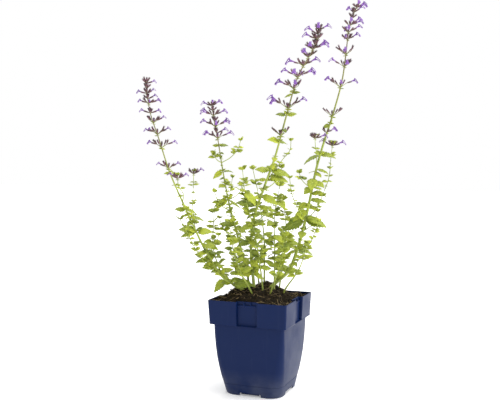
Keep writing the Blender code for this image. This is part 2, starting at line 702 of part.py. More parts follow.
def leaf_stations(length):
    """Shares of a leaf's length where its outline turns, with its tooth or notch there."""
    if length >= LARGE_LEAF:
        return ((0.12, 0.0), (0.24, 1.05), (0.37, 0.92), (0.50, 1.12), (0.64, 0.88), (0.78, 1.08))
    if length >= MEDIUM_LEAF:
        return ((0.30, 1.0), (0.60, 1.05))
    return ((0.42, 1.0),)


def leaf_half_width(share, width):
    """An ovate blade: broad near its base and narrowing to its tip."""
    blade = max(0.0, (share - 0.10) / 0.90)
    return width / 2 * math.sin(math.pi * blade ** 0.68) ** 0.8


def leaf_object(name, leaf, collection):
    """A drooping blade split alike on both faces: flat with teeth, or keeled where it is small."""
    base, along, side, normal, length, width = leaf
    shape = bmesh.new()

    def vert(point):
        return shape.verts.new(place(point))

    def section(share, half):
        middle = leaf_middle(leaf, share)
        down = (leaf_middle(leaf, share + SLOPE_STEP) - middle).cross(side).normalized()
        left, right = middle - side * half, middle + side * half
        if length >= LARGE_LEAF:
            down = down * LEAF_THICKNESS
            return [vert(point) for point in (left, right, right + down, left + down)]
        return [vert(point) for point in (left, right, middle + down * LEAF_KEEL)]

    root = vert(base - along * LEAF_SINK - normal * (LEAF_THICKNESS / 2))
    sections = [section(share, max(PETIOLE_HALF_WIDTH, leaf_half_width(share, width) * tooth))
                for share, tooth in leaf_stations(length)]
    tip = vert(leaf_middle(leaf, 1.0) - normal * (LEAF_THICKNESS / 2))
    count = len(sections[0])
    for index in range(count):
        after = (index + 1) % count
        shape.faces.new((root, sections[0][after], sections[0][index]))
        shape.faces.new((tip, sections[-1][index], sections[-1][after]))
    strips = ((0, 1), (3, 2), (1, 2), (0, 3)) if count == 4 else ((0, 1), (1, 2), (2, 0))
    for low, high in zip(sections, sections[1:]):
        for first, second in strips:
            shape.faces.new((low[first], low[second], high[second]))
            shape.faces.new((low[first], high[second], high[first]))
    return add_object(name, mesh_from(name, shape), collection)


def calyx_object(name, calyx, collection):
    """A stalk and its calyx as one three-sided funnel, from the stem's middle to the mouth."""
    root, centre, along, length = calyx
    mouth = centre + along * length
    aim = (mouth - root).normalized()
    start, end = place(root - aim * CALYX_SINK), place(mouth)
    axis = end - start
    shape = bmesh.new()
    bmesh.ops.create_cone(shape, cap_ends=True, segments=3, radius1=0.0,
                          radius2=CALYX_RADIUS * MM, depth=axis.length)
    matrix = (Matrix.Translation((start + end) / 2)
              @ axis.to_track_quat("Z", "Y").to_matrix().to_4x4())
    bmesh.ops.transform(shape, matrix=matrix, verts=shape.verts)
    return add_object(name, mesh_from(name, shape), collection)


def corolla_object(name, corolla, collection):
    """A two-lipped flower: a tube, a raised upper lip and a broad hanging lower lip."""
    base, along, length = corolla
    side = along.cross(UP).normalized()
    hanging = (along * 0.5 - UP * 0.85).normalized()
    throat = base + along * (length * 0.6)
    rings = (
        # centre, way, half width, height above and below the centre
        (throat, (along + hanging).normalized(), 1.0, 2.2, 0.5),
        (throat + hanging * (length * 0.5), hanging, 1.7, 0.35, 0.4),
    )
    shape = bmesh.new()
    root = shape.verts.new(place(base))
    loops = []
    for centre, way, half, above, below in rings:
        upward = side.cross(way).normalized()
        loops.append([shape.verts.new(place(point)) for point in
                      (centre - side * half - upward * below,
                       centre + side * half - upward * below, centre + upward * above)])
    for low, high in zip(loops, loops[1:]):
        for index in range(3):
            after = (index + 1) % 3
            shape.faces.new((low[index], low[after], high[after]))
            shape.faces.new((low[index], high[after], high[index]))
    for index in range(3):
        shape.faces.new((root, loops[0][(index + 1) % 3], loops[0][index]))
    shape.faces.new(loops[-1])
    return add_object(name, mesh_from(name, shape), collection)


def make_growth(growth, collection, material):
    """One plant node: every tube, leaf and flower fused to its stem."""
    repeats = bpy.data.collections.new(growth.name + "_repeats")
    bpy.context.scene.collection.children.link(repeats)
    main, *thin = growth.tubes
    stem = tube_object(growth.name, *main, collection)
    for index, tube in enumerate(thin):
        tube_object(f"tube_{index}", *tube, repeats)
    for index, leaf in enumerate(growth.leaves):
        leaf_object(f"leaf_{index}", leaf, repeats)
    for index, calyx in enumerate(growth.calyces):
        calyx_object(f"calyx_{index}", calyx, repeats)
    for index, corolla in enumerate(growth.corollas):
        corolla_object(f"corolla_{index}", corolla, repeats)
    join_collection(stem, repeats, "UNION", "EXACT")
    bpy.data.collections.remove(repeats)
    drop_scraps(stem)
    stem.data.materials.clear()
    stem.data.materials.append(material)
    return stem


def main():
    for obj in list(bpy.data.objects):
        bpy.data.objects.remove(obj, do_unlink=True)
    collection = bpy.data.collections.new("catmint_plant")
    cutters = bpy.data.collections.new("cutters")
    for each in (collection, cutters):
        bpy.context.scene.collection.children.link(each)
    growths = grow_plant()
    make_pot(collection, cutters)
    make_soil(collection, growths)
    green = make_material("leaf_green", GREEN, 0.6)
    for growth in growths:
        make_growth(growth, collection, green)


main()
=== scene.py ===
"""A catmint plant in its square nursery pot, dressed over its solids.

The stems, leaves and flowers grow by the same rules and seeds as the solids', so each finer
piece keeps its solid's form. Layout sizes are in millimetres, and meshes are in metres.
"""

import math
import random
from contextlib import contextmanager

import bmesh
import bpy
from mathutils import Euler, Matrix, Vector, noise


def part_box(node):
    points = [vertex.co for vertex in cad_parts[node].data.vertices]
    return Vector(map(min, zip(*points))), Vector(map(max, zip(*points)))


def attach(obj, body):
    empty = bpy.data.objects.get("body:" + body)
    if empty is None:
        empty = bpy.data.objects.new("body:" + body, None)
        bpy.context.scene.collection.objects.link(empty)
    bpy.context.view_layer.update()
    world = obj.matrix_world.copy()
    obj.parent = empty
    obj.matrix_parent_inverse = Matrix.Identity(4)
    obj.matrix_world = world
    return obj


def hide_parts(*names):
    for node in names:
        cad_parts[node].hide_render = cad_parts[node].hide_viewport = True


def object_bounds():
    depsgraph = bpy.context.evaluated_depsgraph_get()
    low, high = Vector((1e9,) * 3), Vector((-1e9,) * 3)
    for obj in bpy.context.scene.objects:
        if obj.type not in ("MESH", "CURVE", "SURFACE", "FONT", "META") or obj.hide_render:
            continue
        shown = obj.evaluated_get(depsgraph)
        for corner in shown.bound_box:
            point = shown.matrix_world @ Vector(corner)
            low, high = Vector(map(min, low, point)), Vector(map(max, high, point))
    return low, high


bl_info = {
    "name": "Catmint plant in a nursery pot",
    "version": (1, 0, 0),
    "blender": (4, 5, 0),
    "location": "3D View > Sidebar > Catmint",
    "description": "Finer leaves, flowers, soil and pot for a catmint plant",
    "category": "Object",
}

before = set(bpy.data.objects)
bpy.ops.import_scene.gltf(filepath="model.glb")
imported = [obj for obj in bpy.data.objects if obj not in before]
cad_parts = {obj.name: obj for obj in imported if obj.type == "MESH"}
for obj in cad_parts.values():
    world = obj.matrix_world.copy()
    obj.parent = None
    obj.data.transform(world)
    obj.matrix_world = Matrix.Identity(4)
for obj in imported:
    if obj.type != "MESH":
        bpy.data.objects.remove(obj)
SOLID_BOX = [list(corner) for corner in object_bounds()]
POT_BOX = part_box("pot")

MM = 0.001

# Pot: its rim and height come from the solid, and the rim stands RIM_SPREAD outside it
RIM_SPREAD = 1.0
RIM_HALF = (POT_BOX[1][0] - POT_BOX[0][0]) / 2 / MM + RIM_SPREAD
RIM_HEIGHT = POT_BOX[1][2] / MM
RECESS_HALF_WIDTH = 11.5
RECESS_EDGE = (
    # how far outside the recess's half width, share of its depth
    (0.7, 0.0),
    (0.35, 0.12),
    (0.1, 0.5),
    (0.0, 1.0),
)
RIM_RECESS_DEPTH = 5.0
STEP_HEIGHT = 79.6
LEDGE_HEIGHT = 101.2
CORNER_STEPS = 8
BODY_LEVELS = (
    # height, half width, corner radius
    (0.0, 33.3, 15.0),
    (0.4, 33.7, 15.4),
    (6.0, 34.7, 14.2),
    (11.9, 35.6, 13.0),
    (12.3, 35.3, 12.7),
    (12.8, 35.7, 12.8),
    (21.0, 37.3, 11.2),
    (30.0, 38.5, 9.6),
    (42.0, 39.8, 7.8),
    (55.0, 40.6, 6.2),
    (68.0, 41.1, 5.0),
    (STEP_HEIGHT - 0.6, 41.3, 4.2),
    (STEP_HEIGHT, 41.7, 4.2),
)
COLLAR_LEVELS = (
    # height, half width, corner radius, recess depth
    (STEP_HEIGHT + 0.1, 44.5, 2.4, 0.0),
    (STEP_HEIGHT + 0.4, 44.9, 2.6, 0.6),
    (STEP_HEIGHT + 0.8, 44.92, 2.6, 2.2),
    (STEP_HEIGHT + 1.2, 44.94, 2.6, 3.0),
    (STEP_HEIGHT + 1.8, 44.95, 2.6, 3.3),
    (STEP_HEIGHT + 5.0, 45.0, 2.55, 3.35),
    (LEDGE_HEIGHT, 45.8, 2.3, 3.6),
    (LEDGE_HEIGHT + 0.4, 45.8, 2.3, 4.9),
    (RIM_HEIGHT - 0.35, RIM_HALF, 2.2, RIM_RECESS_DEPTH),
    (RIM_HEIGHT, RIM_HALF - 0.3, 2.0, RIM_RECESS_DEPTH),
)
INNER_LEVELS = (
    (RIM_HEIGHT, 45.35, 1.8, RIM_RECESS_DEPTH),
    (RIM_HEIGHT - 0.35, 45.1, 1.6, RIM_RECESS_DEPTH),
    (LEDGE_HEIGHT - 0.6, 44.9, 1.6, RIM_RECESS_DEPTH),
    (LEDGE_HEIGHT - 1.2, 44.85, 1.6, 3.7),
    (STEP_HEIGHT + 3.0, 44.05, 1.8, 3.3),
    (STEP_HEIGHT + 1.5, 44.0, 1.8, 3.2),
    (STEP_HEIGHT + 0.6, 40.4, 3.4, 0.0),
    (55.0, 39.7, 5.3, 0.0),
    (30.0, 37.6, 8.7, 0.0),
    (12.3, 34.7, 12.0, 0.0),
    (7.2, 33.9, 13.3, 0.0),
)
UNDER_LEVELS = (
    (6.0, 33.7, 13.9),
    (0.4, 32.8, 15.1),
    (0.0, 32.9, 15.2),
)
FLOOR_UNDERSIDE = 6.0
FOOT_PAD_RADIUS = 6.0
FOOT_PAD_SINK = 0.4
SKIRT_CUT_SIZE = (25.0, 12.0, 6.8)
SKIRT_CUT_EDGE = 0.9
STIFFENER_SIZE = (21.0, 1.2, 5.8)
STIFFENER_PLACE = (-2.0, 5.5, 3.2)
DRAIN_RADIUS = 3.5
DRAIN_OFFSET = 17.0
DRAIN_HEIGHT = 6.6
DRAIN_CUT_DEPTH = 4.0
LIP_BAR_SIZE = (2 * RECESS_HALF_WIDTH + 0.4, 2.6, 1.7)
LIP_BAR_OUT = 0.6
LIP_BAR_RAISE = 0.75
LUG_EDGE = 0.3
RIB_WIDTH = 1.3
RIB_DEPTH = 2.4
RIB_OUT = 0.5
RIB_OFFSET = 3.9
RIB_EDGE = 0.25
SMOOTH_ANGLE = math.radians(32)

# Compost: a mound with a clod beside its top, a heap at the pot's left, and what lies on it
SOIL_EDGE_HEIGHT = 101.6
MOUND_TOP = 115.5
MOUND_CENTRE = (-3.0, 3.0)
MOUND_REACH = 44.0
MOUND_FULLNESS = 2.2
SHOULDER = 33.0
SHOULDER_SLOPE = 1.3
CLOD = (3.0, 15.0)
CLOD_RADIUS = 7.0
CLOD_HEIGHT = 5.5
HEAP_HEIGHT = 6.0
HEAP_ACROSS = 11.0
HEAP_ALONG = 26.0
HEAP_MIDDLE = 6.0
SOIL_HALF = 44.2
SOIL_RECESS_HALF = 39.2
SOIL_CELLS = 110
SOIL_THICKNESS = 1.2
SOIL_RAISE = 1.5
SOIL_LUMPS = (
    # height, frequency, shift of the noise
    (1.5, 0.16, 0.0),
    (1.1, 0.37, 7.0),
)
GRAIN_HEIGHT = 1.3
GRAIN_FREQUENCY = 0.8
RECESS_MARGIN = 2.5
SOIL_SEED = 41
CRUMBS = 1000
CRUMB_SIZES = (1.0, 1.4, 1.9, 3.0)
FIBRES = 260
FIBRE_SECTIONS = 6
FIBRE_LENGTHS = (5, 17)
FIBRE_THICKNESSES = (0.25, 0.6)
FIBRE_BOW = 0.25
FIBRE_RAISE = 0.4
WALL_SPARE = 1.02

# Plant: its routes are in a frame of its own, (across, away, up), turned from the pot's front
PLANT_TURN = math.radians(22.0)
ACROSS = Vector((math.cos(PLANT_TURN), math.sin(PLANT_TURN), 0.0))
AWAY = Vector((-math.sin(PLANT_TURN), math.cos(PLANT_TURN), 0.0))
UP = Vector((0.0, 0.0, 1.0))
LIGHT = Vector((0.1, -0.75, 0.65))
STEM_SEEDS = 100
SHOOT_SEEDS = 200
DETAIL_SEEDS = 300

# Stems: sizes in millimetres or as shares
LINE_STEP = 3.0
SPIKE_TIP_RADIUS = 0.55
BASAL_RADIUS = 0.75
SHOOT_RADIUS = 0.5
TIP_RADIUS = 0.42
STEM_CLEARANCE = 3.4
PUSH_ROUNDS = 6
PUSH_REACH = 3
PUSH_STRENGTH = 1.6
SIDE_SHOOT_LEAF = 12.5
SIDE_SHOOT_OUT = 0.75
SIDE_SHOOT_UP = 0.85
SIDE_SHOOT_POINTS = (0.0, 0.3, 0.65, 1.0)
STEM_SCALE = 1.15
MAIN_SCALE = 1.45
TIP_SCALE = 0.8
MIN_STALK = 0.8
STALK_RADII = (0.42, 0.36)
STALK_BOW = 0.15
MERGE_DISTANCE = 0.005

# Leaves: sizes in millimetres or as shares, turns and lifts in degrees
LARGE_LEAF = 15.0
MEDIUM_LEAF = 9.0
YOUNG_LEAF = 12.0
LEAF_WIDTHS = (0.56, 0.68)
LEAF_FACINGS = (0.3, 1.0)
LEAF_CLEARANCE = 1.5
CLEARANCE_SHARE = 0.1
LEAF_RISE = 0.24
LEAF_DROOP = 0.46
LEAF_SAMPLES = (0.3, 0.5, 0.7, 0.9, 1.0)
BLADE_END = 0.9
BLADE_START = 0.1
EDGE_SHARE = 0.45
LOWEST_INSIDE = 112.0
LOWEST_OUTSIDE = 96.0
POT_REACH = 48.0
PAIR_LIFT = 25
PAIR_SWING = 8
LEAFY_LIFTS = (5, 45)
TOP_LIFTS = (35, 60)
LEAFY_SWING = 10
LEAFY_SIZES = (0.85, 1.12)
TUFT_TURNS = (-38, 34)
TUFT_LIFTS = (15, 60)
TUFT_SIZES = (0.38, 0.6)
TUFT_RAISE = 1.0
TUFT_LEAST = 10
PAIR_GAP = 13.0
BETWEEN_SIZE = 0.3
MIDDLE_WIDTH = 20.0
BAREST_SHOOT = "leafy_shoot_far_right"
BLADE_CELLS = ((16, 6), (12, 4), (7, 2))
PETIOLE_SHARE = 0.07
MIDRIB_DEPTH = 0.012
BLADE_THICKNESS = 0.022
TOOTH = 1.1
GAP = 0.86
TEETH_FROM = 0.15
FOLDS = (0.05, 0.4)
CURLS = (0.2, 0.9)
FOLD_GROWTH = 3
LEAF_WAVE = 0.05
LEAF_WAVES = 21
WAVE_SHIFT = 5
VEIN_PAIRS = 6.0
VEIN_SLANT = 0.28
LEAF_TRIES = (
    # turned by, raised by, share of its length: how a leaf is tried until it is clear
    (0, 0, 1), (-22, 6, 1), (22, 6, 1), (0, 26, 1), (0, -24, 1), (-44, 10, 0.9), (44, 10, 0.9),
    (-20, 28, 0.85), (20, 28, 0.85), (0, 0, 0.7), (-60, 15, 0.8), (60, 15, 0.8),
)
BROAD_LEAVES = {
    # node: (height, turn, lift, length) of broad leaves that stand out in the mass
    "flowering_stem_left": ((180, 185, -5, 18), (150, 200, 0, 17), (165, -20, 0, 18),
                            (196, 10, 0, 16), (140, 175, 10, 16)),
    "flowering_stem_middle_left": ((216, 190, -30, 17), (133, 200, -5, 19), (170, 230, -10, 15)),
    "flowering_stem_middle": ((222, -20, -20, 20), (243, -10, -5, 22), (195, 215, -10, 18),
                              (150, -35, -30, 17)),
    "flowering_stem_right": ((203, 200, -25, 20), (210, 215, -10, 16), (196, -25, -15, 22),
                             (240, 250, -30, 20), (236, -50, -10, 17), (214, 5, 5, 20),
                             (222, -35, 15, 16), (250, -10, -10, 15), (205, 30, 5, 18)),
    "leafy_shoot_front": ((226, -40, -35, 19), (190, 220, -10, 16)),
    "leafy_shoot_centre": ((160, -50, -50, 17), (200, -30, -10, 17)),
    "leafy_shoot_centre_right": ((215, -60, -20, 18), (175, -20, -20, 18), (190, 240, 0, 16)),
    "leafy_shoot_right": ((190, -40, -10, 18), (165, 0, 0, 17)),
    "leafy_shoot_left": ((124, 215, -45, 18), (150, 195, -5, 17)),
}

# Flowers: sizes in millimetres or as shares, turns and lifts in degrees
CALYX_LENGTHS = (5.2, 6.6)
COROLLA_LENGTHS = (7.0, 8.5)
COROLLA_SINK = 1.6
CALYX_SPREAD = 38
CALYX_SWING = 9
SHUT_LIFTS = (38, 72)
OPEN_LIFTS = (14, 34)
CYME_LIFT = 40
CYME_REACH = 4
STALK_LIFT = 38
FULLEST_STEM = "flowering_stem_middle"
OPEN_SHARE = 0.4
SIDE_FILL = 0.5
NEAR_FILL = 0.1
FILL_STAND = 0.4
FILL_LIFT = 48
FILL_SWINGS = (10, 45)
BRACT_SIZE = 1.8
BRACT_GAIN = 3.6
BRACT_REACH = 0.15
BRACT_DROP = 1.2
BRACT_SWING = 15
BRACT_LIFTS = (5, 35)
TIP_CALYCES = 3
TIP_STEP = 0.9
TIP_LIFTS = (48, 85)
TIP_LENGTHS = (3.0, 4.2)
GOLDEN_ANGLE = 137.5
THROAT = Vector((0.60, 0.0, 0.03))
CALYX_THICK = 4.2
CALYX_STRETCH = 1.2
CALYX_FULL = 5
COROLLA_STRETCH = {"flowering_stem_left": 0.95, "flowering_stem_middle_left": 1.3,
                   "flowering_stem_middle": 1.4, "flowering_stem_right": 1.25}
SIZE_TRIES = 6
SIZE_STEP = 0.92
BOX_SPARE = 1.5

# Stage: sizes in metres
CAMERA_TURN = math.radians(21.684)
CAMERA_RIGHT = Vector((math.cos(CAMERA_TURN), math.sin(CAMERA_TURN), 0.0))
CAMERA_AHEAD = Vector((-math.sin(CAMERA_TURN), math.cos(CAMERA_TURN), 0.0))
FLOOR_SIZE = 12.0
FLOOR_GLOW = 0.25
SOFTBOX_AIM = Vector((0, 0, 0.22))
SKY_SPREAD = math.radians(50)
SKY_TILT = (math.radians(-12), math.radians(8), 0)
HORIZON = (-0.35, 0.3)

# Flowering stems: a guide route, the radius at the foot, leaf pairs as (height, turn, first length,
# second length), whorls as (height, turn, reach, first calyces, first open, second calyces,
# second open), side shoots as a route with a leaf size and, in buds, their top whorl.
# A turn is in degrees round the stem, with 0 across to the right and 90 away.
FLOWERING_STEMS = {
    "flowering_stem_left": {
        "route": ((-17, -5, 113), (-24.5, -6, 116.5), (-33, -7, 122), (-45, -8, 131.2),
                  (-60.9, -10, 156.5), (-72.5, -12, 180.3), (-85, -14, 208.3), (-101, -18, 246.6),
                  (-112.2, -21, 282.4), (-121.4, -24, 311.5), (-125.2, -26, 337),
                  (-125.4, -26, 345)),
        "foot_radius": 1.15,
        "leaves": ((121.5, -18, 24, 15), (131, 70, 16, 15), (143.5, 10, 13, 12),
                   (157, 55, 17, 14), (179.5, -5, 18, 22), (190, 65, 14, 12),
                   (205, 10, 12, 13), (220, 70, 8, 8), (246, 5, 9, 7)),
        "whorls": ((344, 20, 0, 2, 1, 2, 0), (338, 100, 0, 2, 0, 1, 0),
                   (333, 15, 0, 2, 1, 2, 1), (327, 110, 0, 1, 0, 2, 0),
                   (321.6, 5, 2.6, 2, 2, 2, 1), (311.8, 80, 0, 2, 0, 2, 0),
                   (301, 10, 4.5, 2, 1, 3, 0), (288.4, 0, 5.5, 2, 1, 3, 2),
                   (274, 8, 6.5, 2, 1, 3, 1), (251, 30, 4.5, 1, 1, 3, 1)),
        "shoots": (
            (((-57.2, -16, 140.5), (-66.8, -20, 152.3), (-74.9, -24, 166.6), (-85, -28, 188.1),
              (-89.1, -30, 196)), 128, 9, 0),
            (((-75.7, -2, 193), (-77.2, -1, 208.2), (-76.7, 0, 229.5), (-76, 0, 247.6)),
             182, 7, 2),
            (((-86, -24, 224), (-90.5, -28, 232), (-92, -30, 243)), 214, 5, 3),
        ),
        "side_shoots": ((143.5, 190, 26), (157, -40, 24), (190, 250, 20)),
    },
    "flowering_stem_middle_left": {
        "route": ((-13.7, 4, 114), (-14.6, 5, 124), (-15.9, 6, 134.6), (-22.6, 9, 158.5),
                  (-30.3, 12, 186.9), (-38.1, 16, 217.5), (-44.9, 21, 254.5), (-49.4, 25, 282.9),
                  (-54, 28, 306.4), (-57, 30, 325)),
        "foot_radius": 1.05,
        "leaves": ((135, 40, 14, 16), (150, 120, 14, 14), (168.5, 30, 14, 12),
                   (184.8, -10, 14, 20), (202, 60, 10, 10), (214.9, 0, 16, 18),
                   (232.2, 50, 14, 12), (247, 5, 12, 13), (262, 85, 7, 7), (277, 0, 11, 8)),
        "whorls": ((324, 0, 0, 2, 1, 1, 1), (318, 100, 0, 2, 0, 1, 0),
                   (312, 5, 3.6, 2, 1, 2, 2), (305.5, 90, 0, 2, 0, 1, 0),
                   (299, 0, 5.5, 2, 2, 2, 1), (292, 80, 0, 1, 0, 2, 0),
                   (285.5, 0, 5.5, 1, 1, 3, 2)),
        "shoots": (
            (((-33, 24, 190), (-37, 30, 205), (-36, 33, 222), (-33, 34, 240)), 178, 7, 0),
        ),
        "side_shoots": ((258, 10, 30), (258, 190, 12), (202, 200, 26),
                        (168.5, 170, 30), (214.9, -15, 26)),
    },
    "flowering_stem_middle": {
        "route": ((-7.6, -4, 114), (-8.8, -5, 125), (-10, -6, 137.5), (-11.6, -9, 162.3),
                  (-8.4, -13, 195.4), (2.1, -17, 228.3), (14.7, -22, 264), (26.6, -28, 308.1),
                  (37.7, -34, 347.3), (48.8, -38, 368.9), (56.7, -40, 383.3), (60.6, -42, 400)),
        "foot_radius": 1.3,
        "leaves": ((133, 20, 16, 15), (148, 105, 14, 14), (169.1, 25, 15, 17),
                   (191.4, 110, 15, 14), (209.1, -15, 16, 27), (227.9, 75, 15, 14),
                   (248.5, -5, 22, 17), (279.6, 30, 12, 15), (308.8, 5, 12, 12),
                   (332.2, 0, 9, 9)),
        "whorls": ((399, 15, 0, 2, 1, 1, 0), (394, 100, 0, 2, 0, 1, 0),
                   (388.5, 5, 2.6, 1, 0, 2, 1), (383, 95, 0, 2, 0, 1, 0),
                   (378, 5, 3.6, 3, 2, 2, 0), (370, 0, 5.0, 2, 0, 2, 0),
                   (361, 10, 5.0, 2, 1, 2, 1), (349, 0, 6.5, 2, 2, 2, 1),
                   (337, 15, 6.5, 3, 0, 3, 1), (316, 5, 10.0, 3, 1, 3, 2),
                   (287, 10, 8.0, 3, 0, 1, 0)),
        "shoots": (
            (((15, -16, 250), (24, -12, 262), (32, -9, 272), (33, -8, 282)), 238, 6, 0),
        ),
        "side_shoots": ((209.1, 150, 28), (227.9, 10, 28), (191.4, 10, 30), (169.1, 205, 28),
                        (148, 0, 24)),
    },
    "flowering_stem_right": {
        "route": ((9.1, 1, 113), (12.5, 1.8, 117.5), (19, 3, 123), (32.4, 6, 135.5),
                  (41.8, 10, 158.4), (48.7, 14, 181.2), (55.5, 18, 209.8), (64.3, 23, 250),
                  (73.2, 27, 280.7), (84.1, 31, 313.6), (94.8, 35, 351.5), (99.5, 38, 381.1),
                  (103.3, 41, 410.9), (108.5, 43, 430), (113.5, 44, 441)),
        "foot_radius": 1.45,
        "leaves": ((131, 30, 17, 14), (157.2, -5, 19, 17), (178.8, 80, 14, 15),
                   (190.4, -8, 25, 27), (228.7, 40, 17, 15), (266.2, 0, 19, 20),
                   (302.5, 0, 5, 9)),
        "whorls": ((440, 0, 0, 2, 2, 1, 0), (434, 60, 0, 2, 0, 2, 1),
                   (427, 100, 0, 1, 0, 1, 0), (418, 0, 3.2, 3, 2, 1, 0),
                   (410, 0, 4.0, 1, 1, 1, 0), (401.5, 0, 3.0, 3, 1, 1, 0),
                   (384, 0, 8.0, 2, 0, 2, 0), (369.5, 5, 6.0, 3, 0, 1, 1),
                   (345.5, 0, 9.0, 1, 1, 3, 1), (311.6, 0, 8.5, 3, 0, 1, 0),
                   (292, 40, 2.8, 1, 1, 1, 0)),
        "shoots": (
            (((43.5, -2, 149), (54, -6, 165.5), (61, -9, 182), (64.1, -11, 192)), 134, 10, 0),
            (((42, 8, 207), (35, 5, 222.4), (32.5, 4, 240)), 192, 8, 0),
            (((60.1, 20, 199), (67, 24, 209), (73, 26, 222), (80, 28, 242), (82, 30, 262),
              (84, 30, 280)), 192, 8, 3),
            (((64, 16, 268), (62.5, 13, 276), (61.5, 12, 288)), 252, 5, 2),
        ),
        "side_shoots": ((157.2, 190, 26), (228.7, 170, 20), (178.8, 20, 26)),
    },
}

# Leafy shoots from the root: a guide route, and the lengths of the lowest and highest leaves
BASAL_SHOOTS = {
    "leafy_shoot_front": (((2, -12, 110), (0.5, -14, 128), (-2.6, -17, 150), (-7.5, -20, 180),
                           (-17, -23, 217), (-21, -25, 250)), 16, 8),
    "leafy_shoot_centre": (((4, 9, 113), (4, 12, 135), (4, 16, 168), (-1.5, 22, 214),
                            (-9, 26, 250)), 17, 8),
    "leafy_shoot_centre_right": (((14.5, -5, 110), (15, -3, 128), (15.5, 3, 158),
                                  (15.5, 8, 198), (21.5, 11, 231)), 16, 9),
    "leafy_shoot_right": (((20.8, 9, 109), (22.5, 13, 122), (28.1, 21, 156), (29.5, 27, 187),
                           (26, 31, 214)), 17, 9),
    "leafy_shoot_left": (((-23, 6, 110), (-31, 7, 117.5), (-43, 8, 127), (-52.5, 11, 150),
                          (-55.3, 15, 169), (-54, 18, 201)), 20, 9),
    "leafy_shoot_back": (((-1, 19, 109), (-3, 25, 124), (-6, 34, 158), (-7, 42, 193)), 18, 9),
    "leafy_shoot_back_right": (((13, 20, 108), (18, 26, 120), (29, 40, 152), (36, 50, 188)),
                               17, 9),
    "leafy_shoot_back_left": (((-15, 15, 110), (-20, 22, 122), (-31, 36, 150), (-37, 44, 186)),
                              17, 9),
    "leafy_shoot_front_right": (((9, -17, 108), (12, -21, 120), (20, -31, 146),
                                 (25, -36, 178)), 16, 9),
    "leafy_shoot_front_left": (((-9, -17, 109), (-14, -21, 120), (-25, -31, 143),
                                (-31, -36, 172)), 17, 9),
    "leafy_shoot_far_right": (((24, -4, 107), (28, -8, 117), (42, -18, 140), (51, -22, 168)),
                              16, 9),
}


def place(point):
    """A point of the plant's frame, in millimetres, as world metres."""
    return (ACROSS * point[0] + AWAY * point[1] + UP * point[2]) * MM


def direction(turn, lift):
    """A unit vector of the plant's frame from its turn and its angle above level, in degrees."""
    turn, lift = math.radians(turn), math.radians(lift)
    return Vector((math.cos(lift) * math.cos(turn), math.cos(lift) * math.sin(turn),
                   math.sin(lift)))


def smooth_line(guides, step):
    """Points about a step apart on the Catmull-Rom curve through the guide points."""
    guides = [Vector(guide) for guide in guides]
    padded = [guides[0] * 2 - guides[1], *guides, guides[-1] * 2 - guides[-2]]
    line = []
    for before, start, end, after in zip(padded, padded[1:], padded[2:], padded[3:]):
        count = max(1, round((end - start).length / step))
        for index in range(count):
            t = index / count
            line.append((start * 2 + (end - before) * t
                         + (before * 2 - start * 5 + end * 4 - after) * t ** 2
                         + (start * 3 - before - end * 3 + after) * t ** 3) / 2)
    return [*line, guides[-1]]


def point_at_height(line, height):
    """The point and the direction of a line where it first reaches a height."""
    for start, end in zip(line, line[1:]):
        if end.z >= height > start.z:
            share = (height - start.z) / (end.z - start.z)
            return start.lerp(end, share), (end - start).normalized()
    return line[-1].copy(), (line[-1] - line[-2]).normalized()


class Space:
    """Where the pieces of each node already are, in cells, so that others can be kept clear."""

    CELL = 8.0

    def __init__(self):
        self.cells = {}

    def key(self, point):
        return tuple(math.floor(value / self.CELL) for value in point)

    def add(self, points, owner):
        for point in points:
            self.cells.setdefault(self.key(point), []).append((point, owner))

    def nearest(self, point, owner):
        """The nearest point of another node within a cell's size, or None."""
        best, found = self.CELL, None
        kx, ky, kz = self.key(point)
        for x in (kx - 1, kx, kx + 1):
            for y in (ky - 1, ky, ky + 1):
                for z in (kz - 1, kz, kz + 1):
                    for other, name in self.cells.get((x, y, z), ()):
                        if name != owner and (other - point).length < best:
                            best, found = (other - point).length, other
        return found

    def is_clear(self, points, owner, distance):
        for point in points:
            other = self.nearest(point, owner)
            if other is not None and (other - point).length < distance:
                return False
        return True


def bend_clear(line, owner, space, fixed=3):
    """The line, pushed sideways where it passes too near another node's stems."""
    for _ in range(PUSH_ROUNDS):
        pushes = []
        for point in line:
            other = space.nearest(point, owner)
            push = Vector()
            if other is not None and (point - other).length < STEM_CLEARANCE:
                push = (point - other).normalized() * (STEM_CLEARANCE - (point - other).length)
                push.z = 0.0
            pushes.append(push)
        for index in range(fixed, len(line)):
            near = pushes[max(fixed, index - PUSH_REACH):index + PUSH_REACH + 1]
            line[index] = line[index] + sum(near, Vector()) * (PUSH_STRENGTH / len(near))
    return line


